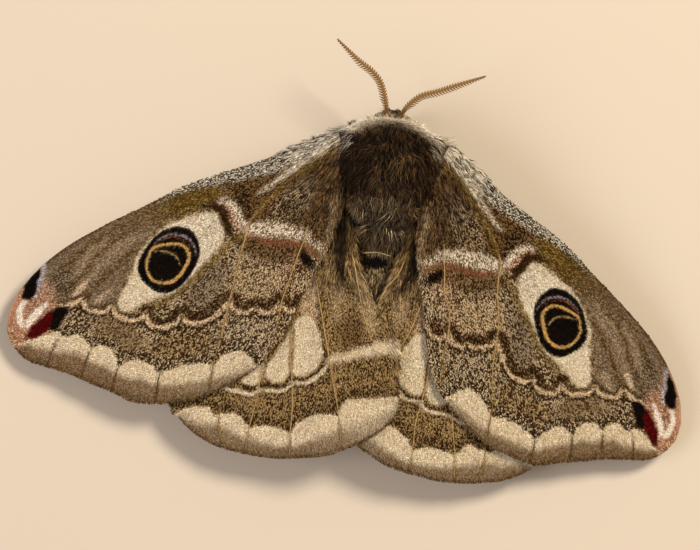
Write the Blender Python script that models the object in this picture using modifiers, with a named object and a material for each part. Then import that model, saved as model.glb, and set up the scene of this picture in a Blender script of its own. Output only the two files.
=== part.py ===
# Female emperor moth at rest, life size: wings spread like a low roof, six feet and the
# belly on the floor. The head points to +Y, the moth's own right side to +X, and the
# floor is z = 0. Every size below is in millimetres, measured from the body's own axis;
# at the end everything is moved so that the origin lies under the middle of the whole moth.
import math

import bmesh
import bpy
from mathutils import Vector

MM = 0.001
GAP = 0.3                 # clearance between neighbouring pieces
SMALL_GAP = 0.15          # the same between an eye and its socket
WELD = 0.0001
WING_THICKNESS = 0.5
WING_GRID = (34, 6)       # cells along and across a wing
BODY_RINGS = 14
BODY_SIDES = 24
BALL_RINGS = {"head": 10, "eye": 9}
CURVE_STEPS = 12          # straight steps between two given points of a curve
BODY_SQUARENESS = 2.3     # 2 gives ellipses, more gives squarer sections

# The roof that the wings lie in: height of the upper layer's middle surface.
ROOF_TOP = 8.3
ROOF_SLOPE = 0.11         # fall per mm outwards
ROOF_ROUND = 3.0          # half width of the rounded ridge
ROOF_CURVE = 0.0009       # extra fall towards the tips
ROOF_PITCH = 0.0875       # fall per mm towards the tail
LAYER = 0.85              # step down from the forewings to the hindwings
LAP_SIDE = (-6.5, -3.0)   # the left hindwing rises a layer between these x, to lap the right one
LAP_BACK = (-5.0, -9.0)   # and between these y

# A wing's own frame: u runs from the root to the tip, v towards the head.
# sweep turns it back from straight out, in degrees, and spread is the share of its
# length that it covers on the ground, less where it slopes more.
FOREWING = {
    "root": (4.4, 2.8),
    "sweep": {"left": 30.0, "right": 35.0},
    "spread": {"left": 0.99, "right": 0.97},
    "layer": 0,
    "front": [(-1.0, 3.7), (3.0, 3.8), (7.0, 3.8), (14.5, 4.4), (19.0, 4.1), (24.0, 3.8),
              (28.0, 3.3), (31.5, 2.3), (34.5, 0.8), (36.4, -0.9)],
    "rear": [(0.2, -1.5), (2.0, -4.2), (5.0, -7.3), (8.5, -10.3), (12.2, -13.5),
             (15.7, -15.2), (19.4, -15.7), (22.2, -15.8), (24.4, -15.3), (26.5, -14.6),
             (28.4, -13.6), (29.6, -12.2), (31.3, -10.6), (32.5, -9.3), (34.6, -7.5),
             (36.4, -6.0), (37.2, -4.1), (37.2, -2.5)],
}
HINDWING = {
    "root": (3.8, -1.2),
    "sweep": {"left": 50.0, "right": 46.0},
    "spread": {"left": 0.965, "right": 1.0},
    "layer": 1,
    "front": [(0.0, 0.6), (4.0, 3.2), (10.0, 4.4), (16.0, 4.2), (21.0, 3.0), (25.0, 0.8),
              (26.8, -2.0)],
    "rear": [(-0.2, -1.0), (1.5, -3.4), (3.0, -5.8), (4.0, -8.3), (4.5, -11.3),
             (5.4, -13.8), (7.3, -15.7), (8.8, -17.7), (10.2, -18.7), (12.5, -18.8),
             (14.8, -18.3), (16.6, -17.7), (18.3, -17.0), (20.8, -15.2), (22.3, -14.0),
             (24.0, -12.1), (25.3, -10.3), (26.2, -8.8), (26.9, -6.6), (27.0, -4.4)],
}

# Sections of the body, from tail to head: y, half width, top and bottom.
THORAX = [(-2.3, 1.0, 7.2, 4.8), (-1.6, 3.0, 8.8, 3.4), (0.0, 4.5, 9.9, 2.4),
          (2.5, 5.2, 10.5, 2.0), (4.6, 5.5, 10.3, 2.2), (6.1, 5.2, 9.7, 3.0),
          (6.55, 4.9, 9.5, 6.1), (7.6, 3.6, 8.9, 6.4), (8.3, 1.6, 8.3, 6.7)]
ABDOMEN = [(-13.4, 1.0, 3.1, 0.9), (-12.2, 2.3, 4.3, 0.1), (-9.5, 3.2, 5.4, -0.15),
           (-7.0, 3.4, 6.0, -0.1), (-5.0, 3.3, 6.5, 0.5), (-3.5, 2.8, 6.7, 1.6),
           (-2.65, 1.5, 6.2, 3.0)]
HEAD = {"centre": (0.0, 7.8, 4.8), "radii": (1.5, 0.95, 1.25)}
EYE = {"centre": (1.2, 7.8, 4.6), "radius": 0.8}

# Tubes: points on the moth's right side as x, y, z and radius. A left one is mirrored.
ANTENNA_RADIUS = 0.26
ANTENNAE = {
    "left": [(-0.75, 8.6, 5.95), (-0.82, 9.0, 6.4), (-1.15, 10.0, 6.9), (-1.8, 11.5, 7.3),
             (-2.85, 12.5, 7.6), (-4.05, 13.2, 7.8), (-5.2, 14.05, 7.9), (-6.6, 15.1, 7.9)],
    "right": [(0.75, 8.6, 5.95), (0.86, 9.0, 6.4), (1.35, 9.8, 6.9), (2.3, 10.7, 7.3),
              (3.9, 11.35, 7.6), (5.9, 12.3, 7.8), (8.3, 13.4, 7.9)],
}
PALP = [(0.45, 8.75, 3.7, 0.27), (0.5, 8.95, 3.25, 0.28), (0.5, 8.9, 2.75, 0.24)]
LEGS = {
    "fore": [(1.2, 5.0, 1.35, 0.5), (2.6, 5.2, 1.9, 0.55), (4.1, 5.2, 2.5, 0.5),
             (4.5, 5.0, 2.3, 0.45), (4.0, 5.2, 1.2, 0.42), (3.6, 5.5, 0.45, 0.34),
             (3.5, 5.9, 0.2, 0.28), (3.6, 7.3, 0.2, 0.28)],
    "middle": [(1.4, 2.9, 1.3, 0.55), (3.2, 2.9, 2.0, 0.6), (5.2, 2.7, 2.9, 0.55),
               (5.7, 2.6, 2.7, 0.48), (6.2, 2.2, 1.4, 0.42), (6.6, 1.9, 0.45, 0.34),
               (7.0, 1.7, 0.2, 0.28), (9.6, 0.9, 0.2, 0.28)],
    "hind": [(1.5, 0.4, 1.4, 0.55), (3.2, -0.3, 2.1, 0.6), (5.0, -1.3, 2.9, 0.55),
             (5.5, -1.8, 2.7, 0.48), (6.1, -3.4, 1.4, 0.42), (6.5, -4.6, 0.45, 0.34),
             (6.7, -5.1, 0.2, 0.28), (7.6, -8.0, 0.2, 0.28)],
}
TUBE_POINTS = {"leg": 18, "antenna": 16, "palp": 6}

# Colour, roughness and metallic value of each finish.
FINISHES = {
    "brown_fur": ((0.075, 0.055, 0.040), 0.9, 0.0),
    "grey_fur": ((0.22, 0.18, 0.14), 0.9, 0.0),
    "forewing_scales": ((0.20, 0.155, 0.115), 0.8, 0.0),
    "hindwing_scales": ((0.33, 0.26, 0.18), 0.8, 0.0),
    "eye": ((0.02, 0.013, 0.01), 0.25, 0.0),
    "antenna": ((0.34, 0.20, 0.09), 0.6, 0.0),
    "leg_fur": ((0.16, 0.12, 0.09), 0.85, 0.0),
}


def clear_scene():
    for thing in list(bpy.data.objects):
        bpy.data.objects.remove(thing, do_unlink=True)


def new_collection(name):
    collection = bpy.data.collections.new(name)
    bpy.context.scene.collection.children.link(collection)
    return collection


def finish_material(name):
    colour, roughness, metallic = FINISHES[name]
    material = bpy.data.materials.get(name) or bpy.data.materials.new(name)
    material.use_nodes = True
    shader = material.node_tree.nodes["Principled BSDF"]
    shader.inputs["Base Color"].default_value = (*colour, 1.0)
    shader.inputs["Roughness"].default_value = roughness
    shader.inputs["Metallic"].default_value = metallic
    material.diffuse_color = (*colour, 1.0)
    return material


def place_mesh(name, mesh, collection, finish=None):
    """Put a mesh made in millimetres into the collection as a named object in metres."""
    mesh.transform(((MM, 0, 0, 0), (0, MM, 0, 0), (0, 0, MM, 0), (0, 0, 0, 1)))
    mesh.shade_smooth()
    if finish:
        mesh.materials.append(finish_material(finish))
    thing = bpy.data.objects.new(name, mesh)
    collection.objects.link(thing)
    return thing


def even_points(points, count):
    """Points at even steps along the smooth curve that runs through the given ones."""
    knots = [Vector(point) for point in points]
    knots = [2 * knots[0] - knots[1]] + knots + [2 * knots[-1] - knots[-2]]
    dense = []
    for before, start, end, after in zip(knots, knots[1:], knots[2:], knots[3:]):
        for step in range(CURVE_STEPS):
            t = step / CURVE_STEPS
            dense.append(0.5 * (2 * start + (end - before) * t
                                + (2 * before - 5 * start + 4 * end - after) * t ** 2
                                + (3 * start - before - 3 * end + after) * t ** 3))
    dense.append(knots[-2])
    lengths = [0.0]
    for start, end in zip(dense, dense[1:]):
        lengths.append(lengths[-1] + (end - start).length)
    result = []
    index = 0
    for number in range(count):
        target = lengths[-1] * number / (count - 1)
        while index < len(dense) - 2 and lengths[index + 1] < target:
            index += 1
        part = (target - lengths[index]) / (lengths[index + 1] - lengths[index])
        result.append(dense[index].lerp(dense[index + 1], part))
    return result


def soft_step(value, start, end):
    part = min(max((value - start) / (end - start), 0.0), 1.0)
    return part * part * (3 - 2 * part)


def wing_height(x, y, wing, side):
    """Height of a wing's middle surface over the floor at x, y."""
    roof = (ROOF_TOP - ROOF_SLOPE * math.hypot(x, ROOF_ROUND) - ROOF_CURVE * x * x
            + ROOF_PITCH * y)
    lift = 0.0
    if wing is HINDWING and side == "left":
        lift = soft_step(x, *LAP_SIDE) * soft_step(y, *LAP_BACK)
    return roof - LAYER * (wing["layer"] - lift)


def wing_place(u, v, wing, side):
    """World place, in millimetres, of a point given in the wing's own frame."""
    sweep = math.radians(wing["sweep"][side])
    u *= wing["spread"][side]
    out = wing["root"][0] + u * math.cos(sweep) + v * math.sin(sweep)
    along = wing["root"][1] - u * math.sin(sweep) + v * math.cos(sweep)
    x = -out if side == "left" else out
    return Vector((x, along, wing_height(x, along, wing, side)))


def make_wing(name, wing, side, finish, collection, cutter):
    columns, rows = WING_GRID
    front = even_points(wing["front"], columns + 1)
    rear = even_points(wing["rear"], columns + 1)
    bm = bmesh.new()
    bmesh.ops.create_grid(bm, x_segments=columns, y_segments=rows, size=0.5)
    for vert in bm.verts:
        column = round((vert.co.x + 0.5) * columns)
        local = rear[column].lerp(front[column], vert.co.y + 0.5)
        vert.co = wing_place(local.x, local.y, wing, side)
    if side == "left":
        bmesh.ops.reverse_faces(bm, faces=bm.faces)
    mesh = bpy.data.meshes.new(name)
    bm.to_mesh(mesh)
    bm.free()
    thing = place_mesh(name, mesh, collection, finish)
    slab = thing.modifiers.new("slab", "SOLIDIFY")
    slab.thickness = WING_THICKNESS * MM
    slab.offset = 0.0
    cut = thing.modifiers.new("body", "BOOLEAN")
    cut.operation = "DIFFERENCE"
    cut.object = cutter


def body_mesh(name, sections, grow=0.0):
    """A closed loft through squarish oval sections across the Y axis."""
    bm = bmesh.new()
    rings = []
    for y, half_width, top, bottom in even_points(sections, BODY_RINGS):
        middle = (top + bottom) / 2
        half_height = (top - bottom) / 2 + grow
        ring = []
        for number in range(BODY_SIDES):
            angle = 2 * math.pi * number / BODY_SIDES
            across = math.copysign(abs(math.cos(angle)) ** (2 / BODY_SQUARENESS), math.cos(angle))
            height = math.copysign(abs(math.sin(angle)) ** (2 / BODY_SQUARENESS), math.sin(angle))
            ring.append(bm.verts.new((across * (half_width + grow), y, middle + height * half_height)))
        rings.append(ring)
    for lower, upper in zip(rings, rings[1:]):
        for number in range(BODY_SIDES):
            after = (number + 1) % BODY_SIDES
            bm.faces.new((lower[number], lower[after], upper[after], upper[number]))
    bm.faces.new(rings[0])
    bm.faces.new(rings[-1])
    bmesh.ops.recalc_face_normals(bm, faces=bm.faces)
    mesh = bpy.data.meshes.new(name)
    bm.to_mesh(mesh)
    bm.free()
    return mesh


def cut_flat_at_floor(mesh):
    """Take away what lies below the floor, and close the mesh with a flat sole."""
    bm = bmesh.new()
    bm.from_mesh(mesh)
    bmesh.ops.remove_doubles(bm, verts=bm.verts, dist=WELD)
    everything = bm.verts[:] + bm.edges[:] + bm.faces[:]
    cut = bmesh.ops.bisect_plane(bm, geom=everything, plane_co=(0, 0, 0), plane_no=(0, 0, 1),
                                 clear_inner=True)
    rim = [item for item in cut["geom_cut"] if isinstance(item, bmesh.types.BMEdge)]
    if rim:
        bmesh.ops.contextual_create(bm, geom=rim)
    bmesh.ops.recalc_face_normals(bm, faces=bm.faces)
    bm.to_mesh(mesh)
    bm.free()


def ball_mesh(name, centre, radii, rings):
    bm = bmesh.new()
    bmesh.ops.create_uvsphere(bm, u_segments=2 * rings, v_segments=rings, radius=1.0)
    bmesh.ops.scale(bm, verts=bm.verts, vec=radii)
    bmesh.ops.translate(bm, verts=bm.verts, vec=centre)
    mesh = bpy.data.meshes.new(name)
    bm.to_mesh(mesh)
    bm.free()
    return mesh


def tube_mesh(name, points, count):
    """A round tube with closed ends through points given as x, y, z and radius."""
    curve = bpy.data.curves.new(name + "_line", "CURVE")
    curve.dimensions = "3D"
    curve.bevel_depth = 1.0
    curve.bevel_resolution = 2
    curve.use_fill_caps = True
    curve.render_resolution_u = 0
    spline = curve.splines.new("POLY")
    path = even_points(points, count)
    spline.points.add(len(path) - 1)
    for spot, (x, y, z, radius) in zip(spline.points, path):
        spot.co = (x, y, z, 1.0)
        spot.radius = radius
    guide = bpy.data.objects.new(name + "_line", curve)
    bpy.context.scene.collection.objects.link(guide)
    bpy.context.view_layer.update()
    mesh = bpy.data.meshes.new_from_object(guide.evaluated_get(bpy.context.evaluated_depsgraph_get()))
    bpy.data.objects.remove(guide, do_unlink=True)
    cut_flat_at_floor(mesh)
    mesh.name = name
    return mesh


def mirrored(points, side):
    sign = -1 if side == "left" else 1
    return [(sign * point[0], *point[1:]) for point in points]


def make_body(parts, cutters):
    place_mesh("thorax", body_mesh("thorax", THORAX), parts, "brown_fur")
    belly = body_mesh("abdomen", ABDOMEN)
    cut_flat_at_floor(belly)
    place_mesh("abdomen", belly, parts, "grey_fur")
    cutter = place_mesh("wing_root_cutter", body_mesh("wing_root_cutter", THORAX, GAP), cutters)
    cutter.hide_render = True
    cutter.display_type = "WIRE"
    return cutter


def make_head(parts, cutters):
    head_mesh = ball_mesh("head", HEAD["centre"], HEAD["radii"], BALL_RINGS["head"])
    head = place_mesh("head", head_mesh, parts, "grey_fur")
    rings = BALL_RINGS["eye"]
    for side in ("left", "right"):
        centre = mirrored([EYE["centre"]], side)[0]
        eye_mesh = ball_mesh("eye_" + side, centre, [EYE["radius"]] * 3, rings)
        place_mesh("eye_" + side, eye_mesh, parts, "eye")
        room = [EYE["radius"] + SMALL_GAP] * 3
        socket = place_mesh("socket_" + side, ball_mesh("socket_" + side, centre, room, rings), cutters)
        socket.hide_render = True
        socket.display_type = "WIRE"
        cut = head.modifiers.new("socket_" + side, "BOOLEAN")
        cut.operation = "DIFFERENCE"
        cut.object = socket
        palp = tube_mesh("palp_" + side, mirrored(PALP, side), TUBE_POINTS["palp"])
        place_mesh("palp_" + side, palp, parts, "grey_fur")
        line = [(*point, ANTENNA_RADIUS) for point in ANTENNAE[side]]
        antenna = tube_mesh("antenna_" + side, line, TUBE_POINTS["antenna"])
        place_mesh("antenna_" + side, antenna, parts, "antenna")


def make_legs(parts):
    for pair, points in LEGS.items():
        for side in ("left", "right"):
            name = "leg_" + pair + "_" + side
            leg = tube_mesh(name, mirrored(points, side), TUBE_POINTS["leg"])
            place_mesh(name, leg, parts, "leg_fur")


def make_wings(parts, cutter):
    for side in ("left", "right"):
        make_wing("forewing_" + side, FOREWING, side, "forewing_scales", parts, cutter)
        make_wing("hindwing_" + side, HINDWING, side, "hindwing_scales", parts, cutter)


def centre_over_origin(parts, cutters):
    """Move everything so that the origin lies on the floor under the moth's middle."""
    bpy.context.view_layer.update()
    view = bpy.context.evaluated_depsgraph_get()
    corners = []
    for part in parts.objects:
        corners.extend(Vector(corner) for corner in part.evaluated_get(view).bound_box)
    middle = [(min(corner[axis] for corner in corners) + max(corner[axis] for corner in corners)) / 2
              for axis in (0, 1)]
    for thing in [*parts.objects, *cutters.objects]:
        thing.location = (-middle[0], -middle[1], 0.0)


def main():
    clear_scene()
    parts = new_collection("moth")
    cutters = new_collection("cutters")
    cutter = make_body(parts, cutters)
    make_head(parts, cutters)
    make_legs(parts)
    make_wings(parts, cutter)
    centre_over_origin(parts, cutters)


main()
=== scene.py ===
import math

import bmesh
import bpy
import numpy as np
from mathutils import Matrix, Vector


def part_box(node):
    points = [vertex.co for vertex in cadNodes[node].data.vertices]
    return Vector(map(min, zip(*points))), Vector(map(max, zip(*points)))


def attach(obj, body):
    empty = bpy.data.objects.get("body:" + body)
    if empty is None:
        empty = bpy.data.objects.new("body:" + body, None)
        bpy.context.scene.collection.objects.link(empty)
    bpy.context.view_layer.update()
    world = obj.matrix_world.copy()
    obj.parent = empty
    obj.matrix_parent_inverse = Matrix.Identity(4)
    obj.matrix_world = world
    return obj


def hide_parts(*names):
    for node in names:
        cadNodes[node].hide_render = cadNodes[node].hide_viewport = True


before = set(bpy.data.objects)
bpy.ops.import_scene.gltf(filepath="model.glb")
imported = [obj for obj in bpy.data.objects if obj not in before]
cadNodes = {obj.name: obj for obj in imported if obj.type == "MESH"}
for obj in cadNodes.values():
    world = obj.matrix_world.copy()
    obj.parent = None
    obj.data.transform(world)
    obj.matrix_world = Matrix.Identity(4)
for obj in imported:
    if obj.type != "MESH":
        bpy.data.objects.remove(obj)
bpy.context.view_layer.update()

mm = 0.001
dice = np.random.default_rng(21)
leftRight = ("left", "right")

# The body's axis crosses the middle of the thorax, whose front end is 8.3 mm ahead of the zero line.
thoraxLow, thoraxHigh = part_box("thorax")
thoraxFront = 8.3
bodyOrigin = np.array([(thoraxLow[0] + thoraxHigh[0]) / 2 / mm, thoraxHigh[1] / mm - thoraxFront, 0.0])


def linear(hexColour):
    # an sRGB hex colour as linear light
    parts = [int(hexColour[i:i + 2], 16) / 255 for i in (1, 3, 5)]
    return np.array([p / 12.92 if p <= 0.04045 else ((p + 0.055) / 1.055) ** 2.4 for p in parts])


def toWorld(points):
    return (points + bodyOrigin) * mm


def softStep(value, start, end):
    part = np.clip((value - start) / (end - start), 0.0, 1.0)
    return part * part * (3 - 2 * part)


def unit(vectors):
    return vectors / np.maximum(np.linalg.norm(vectors, axis=-1, keepdims=True), 1e-9)


def smoothPath(points, count):
    # even steps along the smooth curve through the given points
    knots = np.array(points, float)
    knots = np.vstack([2 * knots[0] - knots[1], knots, 2 * knots[-1] - knots[-2]])
    t = (np.arange(12) / 12)[:, None]
    bits = []
    for a, b, c, d in zip(knots, knots[1:], knots[2:], knots[3:]):
        bits.append(0.5 * (2 * b + (c - a) * t + (2 * a - 5 * b + 4 * c - d) * t ** 2
                           + (3 * b - a - 3 * c + d) * t ** 3))
    bits.append(knots[-2:-1])
    dense = np.vstack(bits)
    along = np.concatenate([[0], np.cumsum(np.linalg.norm(np.diff(dense, axis=0), axis=1))])
    wanted = np.linspace(0, along[-1], count)
    return np.stack([np.interp(wanted, along, dense[:, k]) for k in range(dense.shape[1])], axis=1)


def pathDistance(points, path):
    # nearest distance to an open line, and how far along it that is, from 0 to 1
    best = np.full(len(points), 1e9)
    where = np.zeros(len(points))
    for i, (a, b) in enumerate(zip(path, path[1:])):
        run = b - a
        t = np.clip((points - a) @ run / max(run @ run, 1e-12), 0, 1)
        gap = np.linalg.norm(points - a - t[:, None] * run, axis=1)
        closer = gap < best
        best[closer] = gap[closer]
        where[closer] = (i + t[closer]) / (len(path) - 1)
    return best, where


def insideOf(points, outline):
    inside = np.zeros(len(points), bool)
    for a, b in zip(outline, np.roll(outline, -1, axis=0)):
        if a[1] == b[1]:
            continue
        crosses = (points[:, 1] < a[1]) != (points[:, 1] < b[1])
        at = a[0] + (points[:, 1] - a[1]) * (b[0] - a[0]) / (b[1] - a[1])
        inside ^= crosses & (points[:, 0] < at)
    return inside


def signedDistance(points, outline):
    # positive inside a closed outline
    gap = pathDistance(points, np.vstack([outline, outline[:1]]))[0]
    return np.where(insideOf(points, outline), gap, -gap)


latticeSize = 64
lattice = np.random.default_rng(5).random((latticeSize, latticeSize))


def mottle(u, v, size, seed=0):
    # smooth random patches from 0 to 1, about size across; each seed reads another part of the lattice
    a, b = u / size + 7.3 * seed, v / size + 3.1 * seed
    i, j = np.floor(a).astype(int), np.floor(b).astype(int)
    s, t = a - i, b - j
    s, t = s * s * (3 - 2 * s), t * t * (3 - 2 * t)
    i, j = i % latticeSize, j % latticeSize
    i1, j1 = (i + 1) % latticeSize, (j + 1) % latticeSize
    return ((lattice[i, j] * (1 - s) + lattice[i1, j] * s) * (1 - t)
            + (lattice[i, j1] * (1 - s) + lattice[i1, j1] * s) * t)


floorGap = 0.02   # nothing comes closer to the floor than this
bakePatch = 0.0014   # half the size of one scale or lock on the bake map


def paintPoints(mesh, colours):
    # one colour for each point, in the attribute that the coat materials read
    paint = mesh.color_attributes.new("coatColour", "FLOAT_COLOR", "POINT")
    full = np.ones((len(mesh.vertices), 4), np.float32)
    full[:, :3] = colours
    paint.data.foreach_set("color", full.ravel())


def pointsOf(mesh):
    # the points of a mesh, in millimetres from the body's own axis
    place = np.empty(3 * len(mesh.vertices), np.float32)
    mesh.vertices.foreach_get("co", place)
    return place.reshape(-1, 3).astype(float) / mm - bodyOrigin


def makePiece(name, points, faces, material, colours, places=None, smooth=False):
    # one mesh from arrays: faces all have the same number of corners
    points = np.column_stack([points[:, :2], np.maximum(points[:, 2], floorGap)])
    mesh = bpy.data.meshes.new(name)
    corners = faces.shape[1]
    mesh.vertices.add(len(points))
    mesh.vertices.foreach_set("co", toWorld(points).astype(np.float32).ravel())
    mesh.loops.add(faces.size)
    mesh.loops.foreach_set("vertex_index", faces.astype(np.int32).ravel())
    mesh.polygons.add(len(faces))
    mesh.polygons.foreach_set("loop_start", np.arange(0, faces.size, corners, dtype=np.int32))
    mesh.update(calc_edges=True)
    paintPoints(mesh, colours)
    if places is not None:
        bake = mesh.uv_layers.new(name="OFBake")
        bake.data.foreach_set("uv", places[faces.ravel()].astype(np.float32).ravel())
    if smooth:
        mesh.shade_smooth()
    mesh.materials.append(material)
    piece = bpy.data.objects.new(name, mesh)
    bpy.context.scene.collection.objects.link(piece)
    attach(piece, "root")
    return piece


def tube(path, radii, sides):
    # a closed tube through a path, its ends drawn to points
    tangents = unit(np.gradient(path, axis=0))
    side = unit(np.cross(tangents, [0.0, 0.0, 1.0]) + [1e-6, 0, 0])
    upward = np.cross(side, tangents)
    turn = (2 * math.pi * np.arange(sides) / sides)[:, None]
    ring = side[:, None] * np.cos(turn) + upward[:, None] * np.sin(turn)
    body = (path[:, None] + ring * np.asarray(radii)[:, None, None]).reshape(-1, 3)
    points = np.vstack([body, path[:1], path[-1:]])
    faces = []
    for start in range(0, len(body) - sides, sides):
        for k in range(sides):
            m = (k + 1) % sides
            faces += [(start + k, start + sides + k, start + sides + m),
                      (start + k, start + sides + m, start + m)]
    first, last, end = len(body), len(body) + 1, len(body) - sides
    for k in range(sides):
        m = (k + 1) % sides
        faces += [(first, k, m), (last, end + m, end + k)]
    return points, np.array(faces)


def joined(shapes):
    # several shapes as one
    points = np.vstack([shape[0] for shape in shapes])
    starts = np.cumsum([0] + [len(shape[0]) for shape in shapes[:-1]])
    faces = np.vstack([shape[1] + start for shape, start in zip(shapes, starts)])
    return points, faces


def addNode(tree, kind, settings=None, inputs=None, links=None):
    # one node with its settings, its fixed inputs and the links that feed it
    node = tree.nodes.new(kind)
    for key, value in (settings or {}).items():
        setattr(node, key, value)
    for key, value in (inputs or {}).items():
        node.inputs[key].default_value = value
    for key, output in (links or {}).items():
        tree.links.new(output, node.inputs[key])
    return node


def newMaterial(name, **sockets):
    # a plain shader with the named sockets set
    material = bpy.data.materials.new(name)
    material.use_nodes = True
    shader = material.node_tree.nodes["Principled BSDF"]
    for key, value in sockets.items():
        shader.inputs[key.replace("_", " ")].default_value = value
    return material, material.node_tree, shader


def coatMaterial(name, roughness, grainMm, bumpHeight, sheen, gloss=0.03):
    # chitin, with its pigment painted point by point. Its ribs are about a thousandth of a millimetre
    # apart, far too fine to see, so a coarser grain stands in for them.
    material, tree, shader = newMaterial(name, Roughness=roughness, IOR=1.56, Specular_IOR_Level=gloss,
                                         Sheen_Weight=sheen, Sheen_Roughness=0.5)
    paint = addNode(tree, "ShaderNodeVertexColor", {"layer_name": "coatColour"})
    place = addNode(tree, "ShaderNodeTexCoord")
    grain = addNode(tree, "ShaderNodeTexNoise", inputs={"Scale": 1 / (grainMm * mm), "Detail": 2.0},
                    links={"Vector": place.outputs["Object"]})
    shade = addNode(tree, "ShaderNodeMapRange", inputs={"To Min": 0.86, "To Max": 1.12},
                    links={"Value": grain.outputs["Fac"]})
    tint = addNode(tree, "ShaderNodeMix", {"data_type": "RGBA", "blend_type": "MULTIPLY"},
                   inputs={"Factor": 1.0})
    colourA, colourB, blended = tint.inputs[6], tint.inputs[7], tint.outputs[2]   # the colour sockets
    tree.links.new(paint.outputs["Color"], colourA)
    tree.links.new(shade.outputs["Result"], colourB)
    tree.links.new(blended, shader.inputs["Base Color"])
    bump = addNode(tree, "ShaderNodeBump", inputs={"Strength": 0.5, "Distance": bumpHeight * mm},
                   links={"Height": grain.outputs["Fac"]})
    tree.links.new(bump.outputs["Normal"], shader.inputs["Normal"])
    return material


materials = {
    # a thin grown sheet: matt and slightly crumpled
    "membrane": coatMaterial("wing_membrane_scaled_chitin", 0.75, 0.12, 0.02, 0.0),
    # ribbed plates: dead matt, so the pigments look deep and powdery
    "scales": coatMaterial("wing_scales_ribbed_chitin", 0.8, 0.05, 0.004, 0.0),
    # fine solid hairs: soft, with a faint sheen where they bend
    "hair": coatMaterial("body_hair_fine_chitin", 0.65, 0.06, 0.004, 0.02, 0.06),
    # downy skin: dull between the hairs, and dark there from painted shade in its colour
    "skin": coatMaterial("body_skin_short_down", 0.8, 0.08, 0.03, 0.0),
    # hard bare horn: a low satin light along the edges
    "horn": coatMaterial("feeler_and_claw_horn", 0.45, 0.08, 0.008, 0.0, 0.25),
    # many small lenses: a broken, soft highlight
    "cornea": coatMaterial("compound_eye_cornea", 0.42, 0.3, 0.002, 0.0, 0.3),
}


# A wing's own frame runs from the root: u to the tip, v towards the head. The numbers are those of
# the solids, so the membranes lie in the middle of them.
roof = {"top": 8.3, "slope": 0.11, "round": 3.0, "curve": 0.0009, "pitch": 0.0875, "layer": 0.85,
        "lapSide": (-6.5, -3.0), "lapBack": (-5.0, -9.0)}
wingShapes = {
    "forewing": {
        "root": (4.4, 2.8), "sweep": {"left": 30.0, "right": 35.0},
        "spread": {"left": 0.99, "right": 0.97}, "layer": 0,
        "front": [(-1.0, 3.7), (3.0, 3.8), (7.0, 3.8), (14.5, 4.4), (19.0, 4.1), (24.0, 3.8),
                  (28.0, 3.3), (31.5, 2.3), (34.5, 0.8), (36.4, -0.9)],
        "rear": [(0.2, -1.5), (2.0, -4.2), (5.0, -7.3), (8.5, -10.3), (12.2, -13.5),
                 (15.7, -15.2), (19.4, -15.7), (22.2, -15.8), (24.4, -15.3), (26.5, -14.6),
                 (28.4, -13.6), (29.6, -12.2), (31.3, -10.6), (32.5, -9.3), (34.6, -7.5),
                 (36.4, -6.0), (37.2, -4.1), (37.2, -2.5)],
    },
    "hindwing": {
        "root": (3.8, -1.2), "sweep": {"left": 50.0, "right": 46.0},
        "spread": {"left": 0.965, "right": 1.0}, "layer": 1,
        "front": [(0.0, 0.6), (4.0, 3.2), (10.0, 4.4), (16.0, 4.2), (21.0, 3.0), (25.0, 0.8),
                  (26.8, -2.0)],
        "rear": [(-0.2, -1.0), (1.5, -3.4), (3.0, -5.8), (4.0, -8.3), (4.5, -11.3),
                 (5.4, -13.8), (7.3, -15.7), (8.8, -17.7), (10.2, -18.7), (12.5, -18.8),
                 (14.8, -18.3), (16.6, -17.7), (18.3, -17.0), (20.8, -15.2), (22.3, -14.0),
                 (24.0, -12.1), (25.3, -10.3), (26.2, -8.8), (26.9, -6.6), (27.0, -4.4)],
    },
}

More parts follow.
